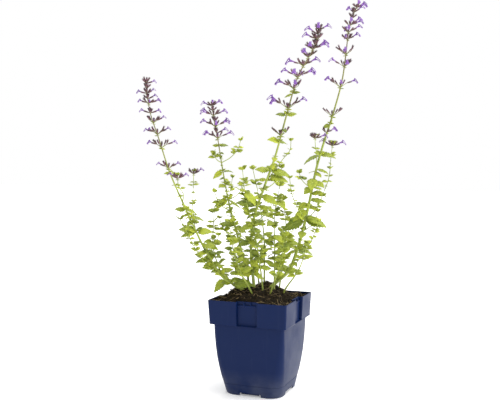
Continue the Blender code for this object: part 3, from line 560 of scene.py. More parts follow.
class Growth:
    """One plant node: its tubes, leaves, calyces and corollas, in the plant's frame."""

    def __init__(self, name, seed):
        self.name = name
        self.draw = random.Random(seed)
        self.tubes = []
        self.leaves = []
        self.calyces = []
        self.corollas = []
        self.shoots = []

    def add_tube(self, line, foot, tip, space):
        """A tapering tube along a line, whose points become obstacles for other nodes."""
        space.add(line, self.name)
        self.tubes.append((line, foot, tip))

    def swing(self, most):
        """A random turn of up to that many degrees either way."""
        return self.draw.uniform(-most, most)

    def leaf_samples(self, leaf):
        """Points along a leaf's midrib, and beside it where the leaf is large."""
        _, _, side, _, length, width = leaf
        samples = []
        for share in LEAF_SAMPLES:
            middle = leaf_middle(leaf, share)
            samples.append(middle)
            if length > MEDIUM_LEAF and share < BLADE_END:
                edge = side * (width * EDGE_SHARE)
                samples.extend((middle + edge, middle - edge))
        return samples

    def add_leaf(self, base, turn, lift, length, space):
        """A leaf at the first free place near its turn and lift, turned to the light, or none."""
        width = length * self.draw.uniform(*LEAF_WIDTHS)
        clearance = LEAF_CLEARANCE + CLEARANCE_SHARE * length
        facing = self.draw.uniform(*LEAF_FACINGS)
        for shift, raised, share in LEAF_TRIES:
            along = direction(turn + shift, lift + raised)
            normal = along.cross(UP).cross(along).normalized().lerp(LIGHT, facing)
            side = along.cross(normal).normalized()
            leaf = (base, along, side, side.cross(along), length * share, width * share)
            samples = self.leaf_samples(leaf)
            if all(point.z > soil_clearance(point) for point in samples) \
                    and space.is_clear(samples, self.name, clearance):
                self.leaves.append(leaf)
                space.add(samples, self.name)
                return

    def add_pair(self, line, height, turn, first, second, space):
        """Two opposite leaves of a stem."""
        base, _ = point_at_height(line, height)
        for offset, length in ((0, first), (180, second)):
            lift = self.swing(PAIR_LIFT)
            self.add_leaf(base, turn + offset + self.swing(PAIR_SWING), lift, length, space)

    def leafy(self, line, low, high, spacing, turn, space, bare=9.0):
        """Opposite pairs up a shoot, each turned a quarter from the last, smaller to the tip."""
        length = sum((b - a).length for a, b in zip(line, line[1:]))
        pairs = max(2, round((length - bare) / spacing))
        for index in range(pairs):
            share = (bare + (length - bare) * (index + 1) / pairs) / length
            at = line[min(len(line) - 1, round(share * (len(line) - 1)))]
            size = low + (high - low) * share
            for offset in (0, 180):
                lift = self.draw.uniform(*(LEAFY_LIFTS if index < pairs - 1 else TOP_LIFTS))
                self.add_leaf(at, turn + 90 * index + offset + self.swing(LEAFY_SWING), lift,
                              size * self.draw.uniform(*LEAFY_SIZES), space)

    def add_cyme(self, root, centre, turn, calyces, opened, space):
        """Calyces fanned from one point, the most level of them with open corollas."""
        for index in range(calyces):
            spread = (index - (calyces - 1) / 2) * CALYX_SPREAD + self.swing(CALYX_SWING)
            lift = self.draw.uniform(*(SHUT_LIFTS if index >= opened else OPEN_LIFTS))
            along = direction(turn + spread, lift)
            length = self.draw.uniform(*CALYX_LENGTHS)
            self.calyces.append((root, centre, along, length))
            if index < opened:
                self.corollas.append((centre + along * (length - COROLLA_SINK), along,
                                      self.draw.uniform(*COROLLA_LENGTHS)))
        space.add([centre + direction(turn, CYME_LIFT) * CYME_REACH], self.name)

    def add_whorl(self, line, row, space):
        """Two opposite cymes, each on its own stalk where it stands off the stem."""
        height, turn, reach, first, first_open, second, second_open = row
        at, _ = point_at_height(line, height)
        for offset, calyces, opened in ((0, first, first_open), (180, second, second_open)):
            out = direction(turn + offset + self.swing(PAIR_SWING), STALK_LIFT)
            self.add_cyme(at, at + out * reach, turn + offset, calyces, opened, space)


def leaf_middle(leaf, share):
    """A point of a leaf's midrib, which rises from its straight line and then droops."""
    base, along, _, normal, length, _ = leaf
    rise = length * (LEAF_RISE * share - LEAF_DROOP * share ** 2)
    return base + along * (length * share) + (normal + UP).normalized() * rise


def soil_clearance(point):
    """The lowest a leaf may come: over the soil and the rim inside, below the rim outside."""
    inside = max(abs(point.x), abs(point.y)) < POT_REACH
    return LOWEST_INSIDE if inside else LOWEST_OUTSIDE


def side_line(start, turn, length):
    """A thin shoot's line from a leaf's axil: out, then curving up."""
    out = direction(turn, 0)
    guides = [start + out * (length * SIDE_SHOOT_OUT * (1 - (1 - s) ** 1.7))
              + UP * (length * SIDE_SHOOT_UP * s ** 1.25) for s in SIDE_SHOOT_POINTS]
    return smooth_line(guides, LINE_STEP)


def grow_plant():
    """Every plant node: stems first, then leaves and flowers in the room that is left."""
    space = Space()
    growths = []
    for seed, (name, data) in enumerate(FLOWERING_STEMS.items()):
        growth = Growth(name, STEM_SEEDS + seed)
        line = bend_clear(smooth_line(data["route"], LINE_STEP), name, space)
        growth.add_tube(line, data["foot_radius"], SPIKE_TIP_RADIUS, space)
        growths.append(growth)
    for seed, (name, (route, _, _)) in enumerate(BASAL_SHOOTS.items()):
        growth = Growth(name, SHOOT_SEEDS + seed)
        line = bend_clear(smooth_line(route, LINE_STEP), name, space)
        growth.add_tube(line, BASAL_RADIUS, TIP_RADIUS, space)
        growths.append(growth)
    by_name = {growth.name: growth for growth in growths}
    for name, data in FLOWERING_STEMS.items():
        growth = by_name[name]
        line = growth.tubes[0][0]
        for route, height, size, buds in data["shoots"]:
            start, _ = point_at_height(line, height)
            shoot = bend_clear(smooth_line((start, *route), LINE_STEP), name, space, 1)
            growth.add_tube(shoot, SHOOT_RADIUS, TIP_RADIUS, space)
            growth.shoots.append((shoot, size, buds))
        for height, turn, length in data["side_shoots"]:
            start, _ = point_at_height(line, height)
            shoot = bend_clear(side_line(start, turn, length), name, space, 1)
            growth.add_tube(shoot, SHOOT_RADIUS, TIP_RADIUS, space)
            growth.shoots.append((shoot, SIDE_SHOOT_LEAF, 0))
    for name, data in FLOWERING_STEMS.items():
        growth = by_name[name]
        line = growth.tubes[0][0]
        for height, turn, first, second in data["leaves"]:
            growth.add_pair(line, height, turn, first, second, space)
        for row in data["whorls"]:
            growth.add_whorl(line, row, space)
        for shoot, size, buds in growth.shoots:
            growth.leafy(shoot, size, 7.0, spacing=15.0, turn=30, space=space, bare=6.0)
            if buds:
                growth.add_whorl(shoot, (shoot[-1].z - 3, 10, 1.5, 2, 1, 2, buds - 2), space)
    for name, (_, low, high) in BASAL_SHOOTS.items():
        growth = by_name[name]
        growth.leafy(growth.tubes[0][0], low, high, spacing=16.5, turn=35, space=space, bare=14.0)
    return growths, space


def add_tufts(growth, line, rows, space):
    """Small leaves in the axils of a stem's pairs, and pairs halfway between them."""
    for height, turn, first, second in rows:
        base, _ = point_at_height(line, height + TUFT_RAISE)
        for offset, length in ((0, first), (180, second)):
            for aside in TUFT_TURNS:
                size = growth.draw.uniform(*TUFT_SIZES) * max(length, TUFT_LEAST)
                lift = growth.draw.uniform(*TUFT_LIFTS)
                growth.add_leaf(base, turn + offset + aside, lift, size, space)
    for low, high in zip(rows, rows[1:]):
        if high[0] - low[0] > PAIR_GAP:
            size = BETWEEN_SIZE * (low[2] + low[3] + high[2] + high[3]) / 2
            growth.add_pair(line, (low[0] + high[0]) / 2, low[1] + 90, size, size, space)


def fill_whorl(growth, line, row, top, space):
    """The rest of a whorl: calyces all round the stem, and a pair of small bracts under them."""
    height, turn, reach, *_ = row
    at, _ = point_at_height(line, height)
    draw = growth.draw
    near = 2 if growth.name == FULLEST_STEM else 1
    for offset, count, opened, share in ((0, 1, 0, SIDE_FILL), (180, 1, 0, SIDE_FILL),
                                         (90, near, 1, NEAR_FILL), (270, near, 1, NEAR_FILL)):
        aside = draw.choice((-1, 1)) * draw.uniform(*FILL_SWINGS)
        out = direction(turn + offset + aside, FILL_LIFT)
        growth.add_cyme(at, at + out * (reach * share + FILL_STAND), turn + offset, count,
                        opened if draw.random() < OPEN_SHARE else 0, space)
    lower = 1 - (height - line[0].z) / (top - line[0].z)
    size = BRACT_SIZE + BRACT_GAIN * lower + BRACT_REACH * reach
    for offset in (0, 180):
        growth.add_leaf(at - UP * BRACT_DROP, turn + offset + growth.swing(BRACT_SWING),
                        draw.uniform(*BRACT_LIFTS), size, space)


def fill_tip(growth, line):
    """Young calyces that close the top of a spike."""
    tip = line[-1]
    for index in range(TIP_CALYCES):
        along = direction(GOLDEN_ANGLE * index, growth.draw.uniform(*TIP_LIFTS))
        start = tip - UP * (index * TIP_STEP)
        growth.calyces.append((start, start, along, growth.draw.uniform(*TIP_LENGTHS)))


def thicken(growths, space):
    """Adds the smaller leaves, bracts, calyces and flowers that the solids leave out."""
    for seed, growth in enumerate(growths):
        growth.draw = random.Random(DETAIL_SEEDS + seed)
        for height, turn, lift, length in BROAD_LEAVES.get(growth.name, ()):
            base, _ = point_at_height(growth.tubes[0][0], height)
            growth.add_leaf(base, turn, lift, length, space)
    for growth in growths:
        line = growth.tubes[0][0]
        if growth.name in FLOWERING_STEMS:
            data = FLOWERING_STEMS[growth.name]
            add_tufts(growth, line, data["leaves"], space)
            for row in data["whorls"]:
                fill_whorl(growth, line, row, line[-1].z, space)
            fill_tip(growth, line)
        else:
            _, low, high = BASAL_SHOOTS[growth.name]
            growth.leafy(line, low * 0.85, high, spacing=16.5, turn=80, space=space, bare=22.0)
            if abs(line[-1].x) > MIDDLE_WIDTH:
                growth.leafy(line, low * 0.6, high * 0.8, spacing=16.5, turn=35, space=space,
                             bare=15.0)
            if abs(line[-1].x) > MIDDLE_WIDTH and growth.name != BAREST_SHOOT:
                growth.leafy(line, low * 0.8, high * 0.9, spacing=12.0, turn=60, space=space,
                             bare=18.0)
        for shoot, size, buds in growth.shoots:
            if abs(shoot[-1].x) > MIDDLE_WIDTH and not buds:
                growth.leafy(shoot, size * 0.9, 5.0, spacing=10.0, turn=120, space=space, bare=8.0)
            growth.leafy(shoot, size * 0.85, 5.0, spacing=12.5, turn=75, space=space, bare=11.0)
            if buds:
                fill_whorl(growth, shoot, (shoot[-1].z - 3, 10, 1.5), shoot[-1].z + 1, space)
                fill_tip(growth, shoot)
    return growths


def soil_height(x, y):
    """The soil's surface: a mound round the stems, with a clod, sunk towards the pot's corners."""
    dx, dy = x - MOUND_CENTRE[0], y - MOUND_CENTRE[1]
    far = min(1.0, math.hypot(dx, dy) / MOUND_REACH)
    height = SOIL_EDGE_HEIGHT - 0.5 + (MOUND_TOP - SOIL_EDGE_HEIGHT) * (1 - far ** MOUND_FULLNESS)
    height += 0.9 * math.sin(0.31 * x + 1.0) * math.sin(0.27 * y - 0.6)
    height += 0.7 * math.sin(0.62 * x - 0.45 * y + 2.0)
    height += CLOD_HEIGHT * math.exp(-(math.hypot(x - CLOD[0], y - CLOD[1]) / CLOD_RADIUS) ** 2)
    wall = max(abs(x), abs(y))
    if wall > SHOULDER:
        height -= (wall - SHOULDER) * SHOULDER_SLOPE
    return height


def leaf_half_width(share, width):
    """An ovate blade: broad near its base and narrowing to its tip."""
    blade = max(0.0, (share - BLADE_START) / (1 - BLADE_START))
    return width / 2 * math.sin(math.pi * blade ** 0.68) ** 0.8


GROWTHS = thicken(*grow_plant())


# Modelling tools

def add_primitive(add, **settings):
    """Adds a primitive with nothing else selected, and gives its object."""
    bpy.ops.object.select_all(action="DESELECT")
    add(**settings)
    return bpy.context.object


@contextmanager
def editing(obj):
    """Edit mode on one object, by vertices, with nothing selected."""
    bpy.context.view_layer.objects.active = obj
    bpy.ops.object.mode_set(mode="EDIT")
    bpy.ops.mesh.select_mode(type="VERT")
    bpy.ops.mesh.select_all(action="DESELECT")
    yield
    bpy.ops.object.mode_set(mode="OBJECT")


def pick(obj, test):
    """In edit mode, selects the vertices whose place passes the test."""
    shape = bmesh.from_edit_mesh(obj.data)
    for vert in shape.verts:
        vert.select_set(False)
    for vert in shape.verts:
        if test(vert.co):
            vert.select_set(True)
    shape.select_flush(True)
    bmesh.update_edit_mesh(obj.data)


def extrude(move, scale, centre):
    """Extrudes what is selected, moves it and resizes it."""
    bpy.ops.mesh.extrude_region_move(TRANSFORM_OT_translate={"value": move})
    bpy.ops.transform.resize(value=scale, center_override=centre)


def finish_shape(obj, thickness=None, offset=0.0):
    """Gives a sheet its thickness and takes the finished mesh off its object."""
    if thickness is not None:
        wall = obj.modifiers.new("wall", "SOLIDIFY")
        wall.thickness = thickness
        wall.offset = offset
        bpy.ops.object.modifier_apply(modifier=wall.name)
    mesh = obj.data
    bpy.data.objects.remove(obj, do_unlink=True)
    return mesh


def set_attribute(mesh, name, values):
    """A number at each vertex, for a material to read."""
    layer = mesh.attributes.new(name, "FLOAT", "POINT")
    layer.data.foreach_set("value", values)


def copy_shape(shape, master, bend, tint):
    """Adds one bent copy of a master mesh to the shape, with its own tint."""
    start = len(shape.verts)
    shape.from_mesh(master)
    shape.verts.ensure_lookup_table()
    layer = shape.verts.layers.float["tint"]
    for vert in shape.verts[start:]:
        vert.co = bend(vert.co)
        vert[layer] = tint


def new_object(name, shape, material):
    """An object made from a bmesh."""
    mesh = bpy.data.meshes.new(name)
    shape.to_mesh(mesh)
    shape.free()
    mesh.materials.append(material)
    obj = bpy.data.objects.new(name, mesh)
    bpy.context.scene.collection.objects.link(obj)
    return obj


def piece(name, shape, node_name, material):
    """A finished piece of the plant or pot from a bmesh, standing for its solid."""
    obj = new_object(name, shape, material)
    obj.data.shade_smooth()
    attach(obj, "root")
    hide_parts(node_name)
    return obj


# Master shapes: each is modelled once at unit length along X

def blade_master(stations, across):
    """A leaf blade with rounded teeth along its edge and a groove down its middle."""
    obj = add_primitive(bpy.ops.mesh.primitive_grid_add, x_subdivisions=stations,
                        y_subdivisions=across, size=1.0, location=(0.5, 0, 0))
    bpy.ops.object.transform_apply(location=True, rotation=False, scale=False)
    obj.data.uv_layers[0].name = "blade"
    columns = sorted({round(vert.co.x, 4) for vert in obj.data.vertices})
    with editing(obj):
        for index, share in enumerate(columns):
            tooth = 1.0 if share < TEETH_FROM or across < 4 else (TOOTH if index % 2 else GAP)
            wide = max(PETIOLE_SHARE, leaf_half_width(share, 2.0) * tooth)
            pick(obj, lambda co: abs(co.x - share) < 0.3 / stations)
            bpy.ops.transform.resize(value=(1, wide, 1), center_override=(share, 0, 0))
        pick(obj, lambda co: abs(co.y) < 0.001 and TEETH_FROM < co.x < BLADE_END)
        bpy.ops.transform.translate(value=(0, 0, -MIDRIB_DEPTH))
    mesh = finish_shape(obj, BLADE_THICKNESS, -1.0)
    set_attribute(mesh, "tint", [0.0] * len(mesh.vertices))
    return mesh


def calyx_master():
    """A ribbed calyx: a short stalk, a tube that swells, and five teeth round an open mouth."""
    obj = add_primitive(bpy.ops.mesh.primitive_circle_add, vertices=10, radius=0.04,
                        rotation=(0, math.pi / 2, 0))
    bpy.ops.object.transform_apply(location=False, rotation=True, scale=False)
    steps = ((0.18, 1.1), (0.06, 2.6), (0.22, 1.4), (0.26, 1.08))
    with editing(obj):
        bpy.ops.mesh.select_all(action="SELECT")
        reach = 0.0
        for step, scale in steps:
            reach += step
            extrude((step, 0, 0), (1, scale, scale), (reach, 0, 0))
        mouth = reach
        teeth = [Vector((0, math.cos(a), math.sin(a))) for a in
                 (math.tau * index / 5 for index in range(5))]
        shape = bmesh.from_edit_mesh(obj.data)
        rim = [vert.co.copy() for vert in shape.verts if vert.co.x > mouth - 0.01]
        tips = [max(rim, key=lambda co: co.dot(tooth)) for tooth in teeth]
        pick(obj, lambda co: any((co - tip).length < 0.001 for tip in tips))
        bpy.ops.transform.translate(value=(1.0 - mouth, 0, 0))
        pick(obj, lambda co: co.x > 0.99)
        bpy.ops.transform.resize(value=(1, 1.12, 1.12), center_override=(1, 0, 0))
    mesh = finish_shape(obj, 0.04, -1.0)
    set_attribute(mesh, "share", [vert.co.x for vert in mesh.vertices])
    set_attribute(mesh, "tint", [0.0] * len(mesh.vertices))
    return mesh


def corolla_master():
    """A two-lipped flower: a slim curved tube, a raised upper lip and a broad hanging lower one."""
    obj = add_primitive(bpy.ops.mesh.primitive_circle_add, vertices=8, radius=0.055,
                        rotation=(0, math.pi / 2, 0))
    bpy.ops.object.transform_apply(location=False, rotation=True, scale=False)
    with editing(obj):
        bpy.ops.mesh.select_all(action="SELECT")
        extrude((0.26, 0, 0.04), (1, 0.95, 0.95), (0.26, 0, 0.04))
        extrude((0.20, 0, 0.01), (1, 1.3, 1.4), (0.46, 0, 0.05))
        extrude((0.14, 0, -0.01), (1, 1.35, 1.5), (0.60, 0, 0.04))
        pick(obj, lambda co: co.x > 0.59 and co.z > 0.06)
        extrude((0.08, 0, 0.09), (1, 1.1, 1), (0.68, 0, 0.18))
        extrude((0.02, 0, 0.11), (1, 1.0, 0.7), (0.70, 0, 0.28))
        pick(obj, lambda co: co.z > 0.22 and abs(co.y) < 0.01)
        bpy.ops.transform.translate(value=(0, 0, -0.07))
        pick(obj, lambda co: 0.59 < co.x < 0.61 and co.z < 0.05)
        extrude((0.12, 0, -0.06), (1, 1.3, 0.7), (0.72, 0, -0.06))
        extrude((0.08, 0, -0.13), (0.8, 0.75, 0.6), (0.80, 0, -0.19))
        extrude((0.06, 0, -0.11), (1, 1.75, 0.5), (0.86, 0, -0.30))
        extrude((0.00, 0, -0.12), (1, 0.85, 0.4), (0.86, 0, -0.42))
        pick(obj, lambda co: co.z < -0.38 and abs(co.y) < 0.01)
        bpy.ops.transform.translate(value=(0, 0, 0.07))
    mesh = finish_shape(obj, 0.03, 0.0)
    share = []
    for vert in mesh.vertices:
        lip = (vert.co - THROAT).length
        share.append(min(0.6, vert.co.x) if vert.co.x < 0.61 else min(1.0, 0.6 + lip))
    set_attribute(mesh, "share", share)
    set_attribute(mesh, "tint", [0.0] * len(mesh.vertices))
    return mesh


def crumb_master():
    """A rough grain of compost."""
    obj = add_primitive(bpy.ops.mesh.primitive_ico_sphere_add, subdivisions=1, radius=0.5)
    mesh = finish_shape(obj)
    for vert in mesh.vertices:
        vert.co *= 1.0 + 0.5 * noise.noise(vert.co * 2.3)
    set_attribute(mesh, "tint", [0.0] * len(mesh.vertices))
    return mesh


def fibre_master():
    """A straight strand of peat fibre, with enough sections to be bent."""
    obj = add_primitive(bpy.ops.mesh.primitive_circle_add, vertices=3, radius=0.5,
                        fill_type="NGON", rotation=(0, math.pi / 2, 0))
    bpy.ops.object.transform_apply(location=False, rotation=True, scale=False)
    with editing(obj):
        bpy.ops.mesh.select_all(action="SELECT")
        for index in range(FIBRE_SECTIONS):
            reach = (index + 1) / FIBRE_SECTIONS
            narrow = 0.45 if index == FIBRE_SECTIONS - 1 else 1.0
            extrude((1 / FIBRE_SECTIONS, 0, 0), (1, narrow, narrow), (reach, 0, 0))
    mesh = finish_shape(obj)
    set_attribute(mesh, "tint", [0.0] * len(mesh.vertices))
    return mesh


# Materials

def node(tree, kind, inputs=None, **settings):
    """Adds a shader node, sets its options, and fills or links its inputs."""
    made = tree.nodes.new(kind)
    for key, value in settings.items():
        setattr(made, key, value)
    for key, value in (inputs or {}).items():
        if isinstance(value, bpy.types.NodeSocket):
            tree.links.new(value, made.inputs[key])
        else:
            made.inputs[key].default_value = value
    return made


def sums(tree, operation, *values):
    return node(tree, "ShaderNodeMath", dict(enumerate(values)), operation=operation).outputs[0]


def mixed(tree, factor, low, high):
    """A colour between two others; each is a socket or a colour."""
    low, high = (value if isinstance(value, bpy.types.NodeSocket) else (*value, 1.0)
                 for value in (low, high))
    return node(tree, "ShaderNodeMix", {0: factor, 6: low, 7: high}, data_type="RGBA").outputs[2]


def stretch(tree, value, low, high, to_low=0.0, to_high=1.0):
    """A value spread from one range to another, held at its ends."""
    return node(tree, "ShaderNodeMapRange", {"Value": value, "From Min": low, "From Max": high,
                                             "To Min": to_low, "To Max": to_high}).outputs[0]


def attribute(tree, name):
    return node(tree, "ShaderNodeAttribute", attribute_name=name).outputs["Fac"]


def mottle_group():
    """Two scales of soft blotches: a mask for colour and a finer one for height."""
    group = bpy.data.node_groups.new("mottle", "ShaderNodeTree")
    group.interface.new_socket("Vector", in_out="INPUT", socket_type="NodeSocketVector")
    size = group.interface.new_socket("Scale", in_out="INPUT", socket_type="NodeSocketFloat")
    size.default_value = 200.0
    group.interface.new_socket("Blotches", in_out="OUTPUT", socket_type="NodeSocketFloat")
    group.interface.new_socket("Grain", in_out="OUTPUT", socket_type="NodeSocketFloat")
    entry = node(group, "NodeGroupInput")
    broad = node(group, "ShaderNodeTexNoise", {"Vector": entry.outputs["Vector"],
                                               "Scale": entry.outputs["Scale"], "Detail": 3.0})
    finer = sums(group, "MULTIPLY", entry.outputs["Scale"], 6.0)
    grain = node(group, "ShaderNodeTexNoise", {"Vector": entry.outputs["Vector"],
                                               "Scale": finer, "Detail": 2.0})
    node(group, "NodeGroupOutput", {"Blotches": stretch(group, broad.outputs[0], 0.35, 0.65),
                                    "Grain": grain.outputs[0]})
    return group


def new_material(name, roughness, **sockets):
    """A material with constant values on its shader's own sockets, its tree and its shader."""
    material = bpy.data.materials.new(name)
    material.use_nodes = True
    shader = material.node_tree.nodes["Principled BSDF"]
    shader.inputs["Roughness"].default_value = roughness
    for key, value in sockets.items():
        shader.inputs[key.replace("_", " ")].default_value = value
    return material, material.node_tree, shader


def mottled(tree, scale):
    """The mottle group over the object's own coordinates."""
    place_at = node(tree, "ShaderNodeTexCoord").outputs["Object"]
    made = node(tree, "ShaderNodeGroup", {"Vector": place_at, "Scale": scale},
                node_tree=bpy.data.node_groups["mottle"])
    return made.outputs["Blotches"], made.outputs["Grain"]


def bumped(tree, shader, height, strength, distance):
    bump = node(tree, "ShaderNodeBump", {"Height": height, "Strength": strength,
                                         "Distance": distance})
    tree.links.new(bump.outputs[0], shader.inputs["Normal"])


def leaf_material(colours):
    """A leaf's face: quilted between pale veins, each leaf a little darker or yellower."""
    material, tree, shader = new_material("leaf_face", roughness=0.5, Specular_IOR_Level=0.3,
                                          Sheen_Weight=0.05, Sheen_Roughness=0.5)
    place_on = node(tree, "ShaderNodeUVMap", uv_map="blade").outputs[0]
    split = node(tree, "ShaderNodeSeparateXYZ", {0: place_on})
    out = sums(tree, "ABSOLUTE", sums(tree, "MULTIPLY_ADD", split.outputs["Y"], 2.0, -1.0))
    slant = sums(tree, "MULTIPLY_ADD", out, -VEIN_SLANT, split.outputs["X"])
    turn = sums(tree, "FRACT", sums(tree, "MULTIPLY", slant, VEIN_PAIRS))
    off_vein = sums(tree, "ABSOLUTE", sums(tree, "SUBTRACT", turn, 0.5))
    side_vein = stretch(tree, off_vein, 0.38, 0.5)
    midrib = stretch(tree, out, 0.13, 0.0)
    veins = sums(tree, "MAXIMUM", sums(tree, "MULTIPLY", side_vein, 0.7), midrib)
    blotches, grain = mottled(tree, scale=160.0)
    shade = sums(tree, "MULTIPLY_ADD", attribute(tree, "tint"), 0.75,
                 sums(tree, "MULTIPLY", blotches, 0.25))
    face = mixed(tree, shade, colours.leaf_dark, colours.leaf_light)
    colour = mixed(tree, sums(tree, "MULTIPLY", veins, 0.45), face, colours.vein)
    tree.links.new(colour, shader.inputs["Base Color"])
    height = sums(tree, "SUBTRACT", sums(tree, "MULTIPLY", grain, 0.3), veins)
    bumped(tree, shader, height, strength=0.7, distance=0.0004)
    return material


def stem_material(colours):
    """A square green stem, ribbed and browner among its flowers."""
    material, tree, shader = new_material("stem_skin", roughness=0.5,
                                          Sheen_Weight=0.1, Sheen_Roughness=0.5)
    blotches, grain = mottled(tree, scale=90.0)
    green = mixed(tree, blotches, colours.stem_dark, colours.stem_light)
    flush = sums(tree, "MULTIPLY", stretch(tree, attribute(tree, "share"), 0.5, 0.85), 0.8)
    tree.links.new(mixed(tree, flush, green, colours.stem_flush),
                   shader.inputs["Base Color"])
    bumped(tree, shader, grain, strength=0.35, distance=0.0002)
    return material


def calyx_material(colours):
    """A calyx: green at its stalk and purple-brown to its teeth."""
    material, tree, shader = new_material("calyx_skin", roughness=0.6,
                                          Sheen_Weight=0.2, Sheen_Roughness=0.5)
    blotches, grain = mottled(tree, scale=400.0)
    along = stretch(tree, attribute(tree, "share"), 0.12, 0.5)
    dark = mixed(tree, attribute(tree, "tint"), colours.calyx_dark,
                 colours.calyx_light)
    dark = mixed(tree, sums(tree, "MULTIPLY", blotches, 0.3), dark, colours.calyx_green)
    tree.links.new(mixed(tree, along, colours.calyx_green, dark),
                   shader.inputs["Base Color"])
    bumped(tree, shader, grain, strength=0.4, distance=0.0002)
    return material


def corolla_material(colours):
    """A petal: a paler tube, a violet throat and a lilac lip with darker specks."""
    material, tree, shader = new_material("petal", roughness=0.5,
                                          Sheen_Weight=0.3, Sheen_Roughness=0.4)
    blotches, grain = mottled(tree, scale=900.0)
    share = attribute(tree, "share")
    deep = mixed(tree, attribute(tree, "tint"), colours.petal_deep,
                 colours.petal_mid)
    tube = mixed(tree, stretch(tree, share, 0.1, 0.55), colours.petal_pale, deep)
    lip = mixed(tree, stretch(tree, share, 0.7, 1.0), tube, colours.petal_mid)
    specks = sums(tree, "MULTIPLY", stretch(tree, grain, 0.56, 0.62),
                  stretch(tree, share, 0.6, 0.7))
    tree.links.new(mixed(tree, sums(tree, "MULTIPLY", specks, 0.5), lip,
                         colours.petal_deep), shader.inputs["Base Color"])
    bumped(tree, shader, blotches, strength=0.2, distance=0.0002)
    return material


def pot_material(colours):
    """Moulded plastic with faint flow marks, fine grain, dust, scuffs and a painted floor
    reflection at its foot.
    """
    material, tree, shader = new_material("pot_plastic", roughness=0.42,
                                          Specular_IOR_Level=0.12)
    blotches, grain = mottled(tree, scale=38.0)
    place_at = node(tree, "ShaderNodeTexCoord").outputs["Object"]
    level = node(tree, "ShaderNodeSeparateXYZ", {0: place_at}).outputs["Z"]
    # Painted reflection of the pale floor: the blotchy grey film is a faint dust all over and grows
    # to a strong paling below 30 mm, at the pot's foot.
    dust_and_floor_reflection = sums(tree, "MULTIPLY", blotches, stretch(tree, level, low=0.03, high=0.0,
                                              to_low=0.01, to_high=0.3))
    scratches = node(tree, "ShaderNodeTexNoise", {"Scale": 260.0, "Detail": 2.0, "Vector": node(
        tree, "ShaderNodeMapping", {"Vector": place_at, "Scale": (1, 1, 0.06)}).outputs[0]})
    scuffs = sums(tree, "MULTIPLY", stretch(tree, scratches.outputs[0], 0.62, 0.7), 0.012)
    film = sums(tree, "ADD", dust_and_floor_reflection, scuffs)
    tree.links.new(mixed(tree, film, colours.pot, colours.pot_dust_and_floor_reflection),
                   shader.inputs["Base Color"])
    tree.links.new(sums(tree, "MULTIPLY_ADD", blotches, 0.12, 0.36), shader.inputs["Roughness"])
    height = sums(tree, "ADD", grain, scratches.outputs[0])
    bumped(tree, shader, height, strength=0.12, distance=0.0003)
    return material


def soil_material(colours):
    """Moist compost: near-black crumbs among browner ones."""
    material, tree, shader = new_material("compost", roughness=0.9, Specular_IOR_Level=0.2)
    blotches, grain = mottled(tree, scale=230.0)
    shade = sums(tree, "ADD", sums(tree, "MULTIPLY", blotches, 0.5),
                 sums(tree, "MULTIPLY", attribute(tree, "tint"), 0.6))
    tree.links.new(mixed(tree, shade, colours.soil_dark, colours.soil_light),
                   shader.inputs["Base Color"])
    bumped(tree, shader, grain, strength=0.9, distance=0.0008)
    return material


def fibre_material(colours):
    """Peat fibre, from dark brown to straw."""
    material, tree, shader = new_material("peat_fibre", roughness=0.8)
    tree.links.new(mixed(tree, attribute(tree, "tint"), colours.fibre_dark,
                         colours.fibre_light), shader.inputs["Base Color"])
    return material


# Pieces

def bend_leaf(leaf, fold, curl):
    """Takes a unit blade's point to its leaf, folded along the midrib and curled at its edges."""
    _, _, side, normal, length, width = leaf

    def bend(co):
        out = abs(co.y)
        lift = co.z * length + out * width * (fold - curl * out) * min(1.0, co.x * FOLD_GROWTH)
        wave = LEAF_WAVE * width * out * math.sin(co.x * LEAF_WAVES + width * WAVE_SHIFT)
        middle = leaf_middle(leaf, co.x)
        return place(middle + side * (co.y * width) + normal * (lift + wave))
    return bend


def bend_straight(start, along, length, thick):
    """Takes a unit shape along X to a line, with its upper side up."""
    side = along.cross(UP).normalized()
    upward = side.cross(along)

    def bend(co):
        return place(start + along * (co.x * length) - side * (co.y * thick)
                     + upward * (co.z * thick))
    return bend


def tube_mesh(line, foot, tip):
    """A tapering square tube with rounded ribs along a line, with each vertex's share of it."""
    curve = bpy.data.curves.new("stem", "CURVE")
    curve.dimensions = "3D"
    curve.bevel_depth = MM
    curve.bevel_resolution = 1
    curve.use_fill_caps = True
    spline = curve.splines.new("POLY")
    spline.points.add(len(line) - 1)
    for index, point in enumerate(line):
        spline.points[index].co = (*place(point), 1.0)
        spline.points[index].radius = foot + (tip - foot) * index / (len(line) - 1)
    guide = bpy.data.objects.new("stem", curve)
    bpy.context.scene.collection.objects.link(guide)
    evaluated = guide.evaluated_get(bpy.context.evaluated_depsgraph_get())
    mesh = bpy.data.meshes.new_from_object(evaluated)
    bpy.data.objects.remove(guide, do_unlink=True)
    low, high = line[0].z * MM, line[-1].z * MM
    set_attribute(mesh, "share", [(vert.co.z - low) / (high - low) for vert in mesh.vertices])
    return mesh


def make_stems(growth, material):
    """A node's stems, side shoots and flower stalks, as one mesh."""
    shape = bmesh.new()
    for index, (line, foot, tip) in enumerate(growth.tubes):
        fine = smooth_line(line, LINE_STEP) if index == 0 else line
        mesh = tube_mesh(fine, foot * (STEM_SCALE if index else MAIN_SCALE), tip * TIP_SCALE)
        if index or growth.name not in FLOWERING_STEMS:
            mesh.attributes["share"].data.foreach_set("value", [0.0] * len(mesh.vertices))
        shape.from_mesh(mesh)
    for root, centre, _, _ in growth.calyces:
        if (centre - root).length > MIN_STALK:
            mesh = tube_mesh([root, root.lerp(centre, 0.5) + UP * STALK_BOW, centre], *STALK_RADII)
            shape.from_mesh(mesh)
    bmesh.ops.remove_doubles(shape, verts=shape.verts, dist=MERGE_DISTANCE * MM)
    piece(growth.name + "_stems", shape, growth.name, material)


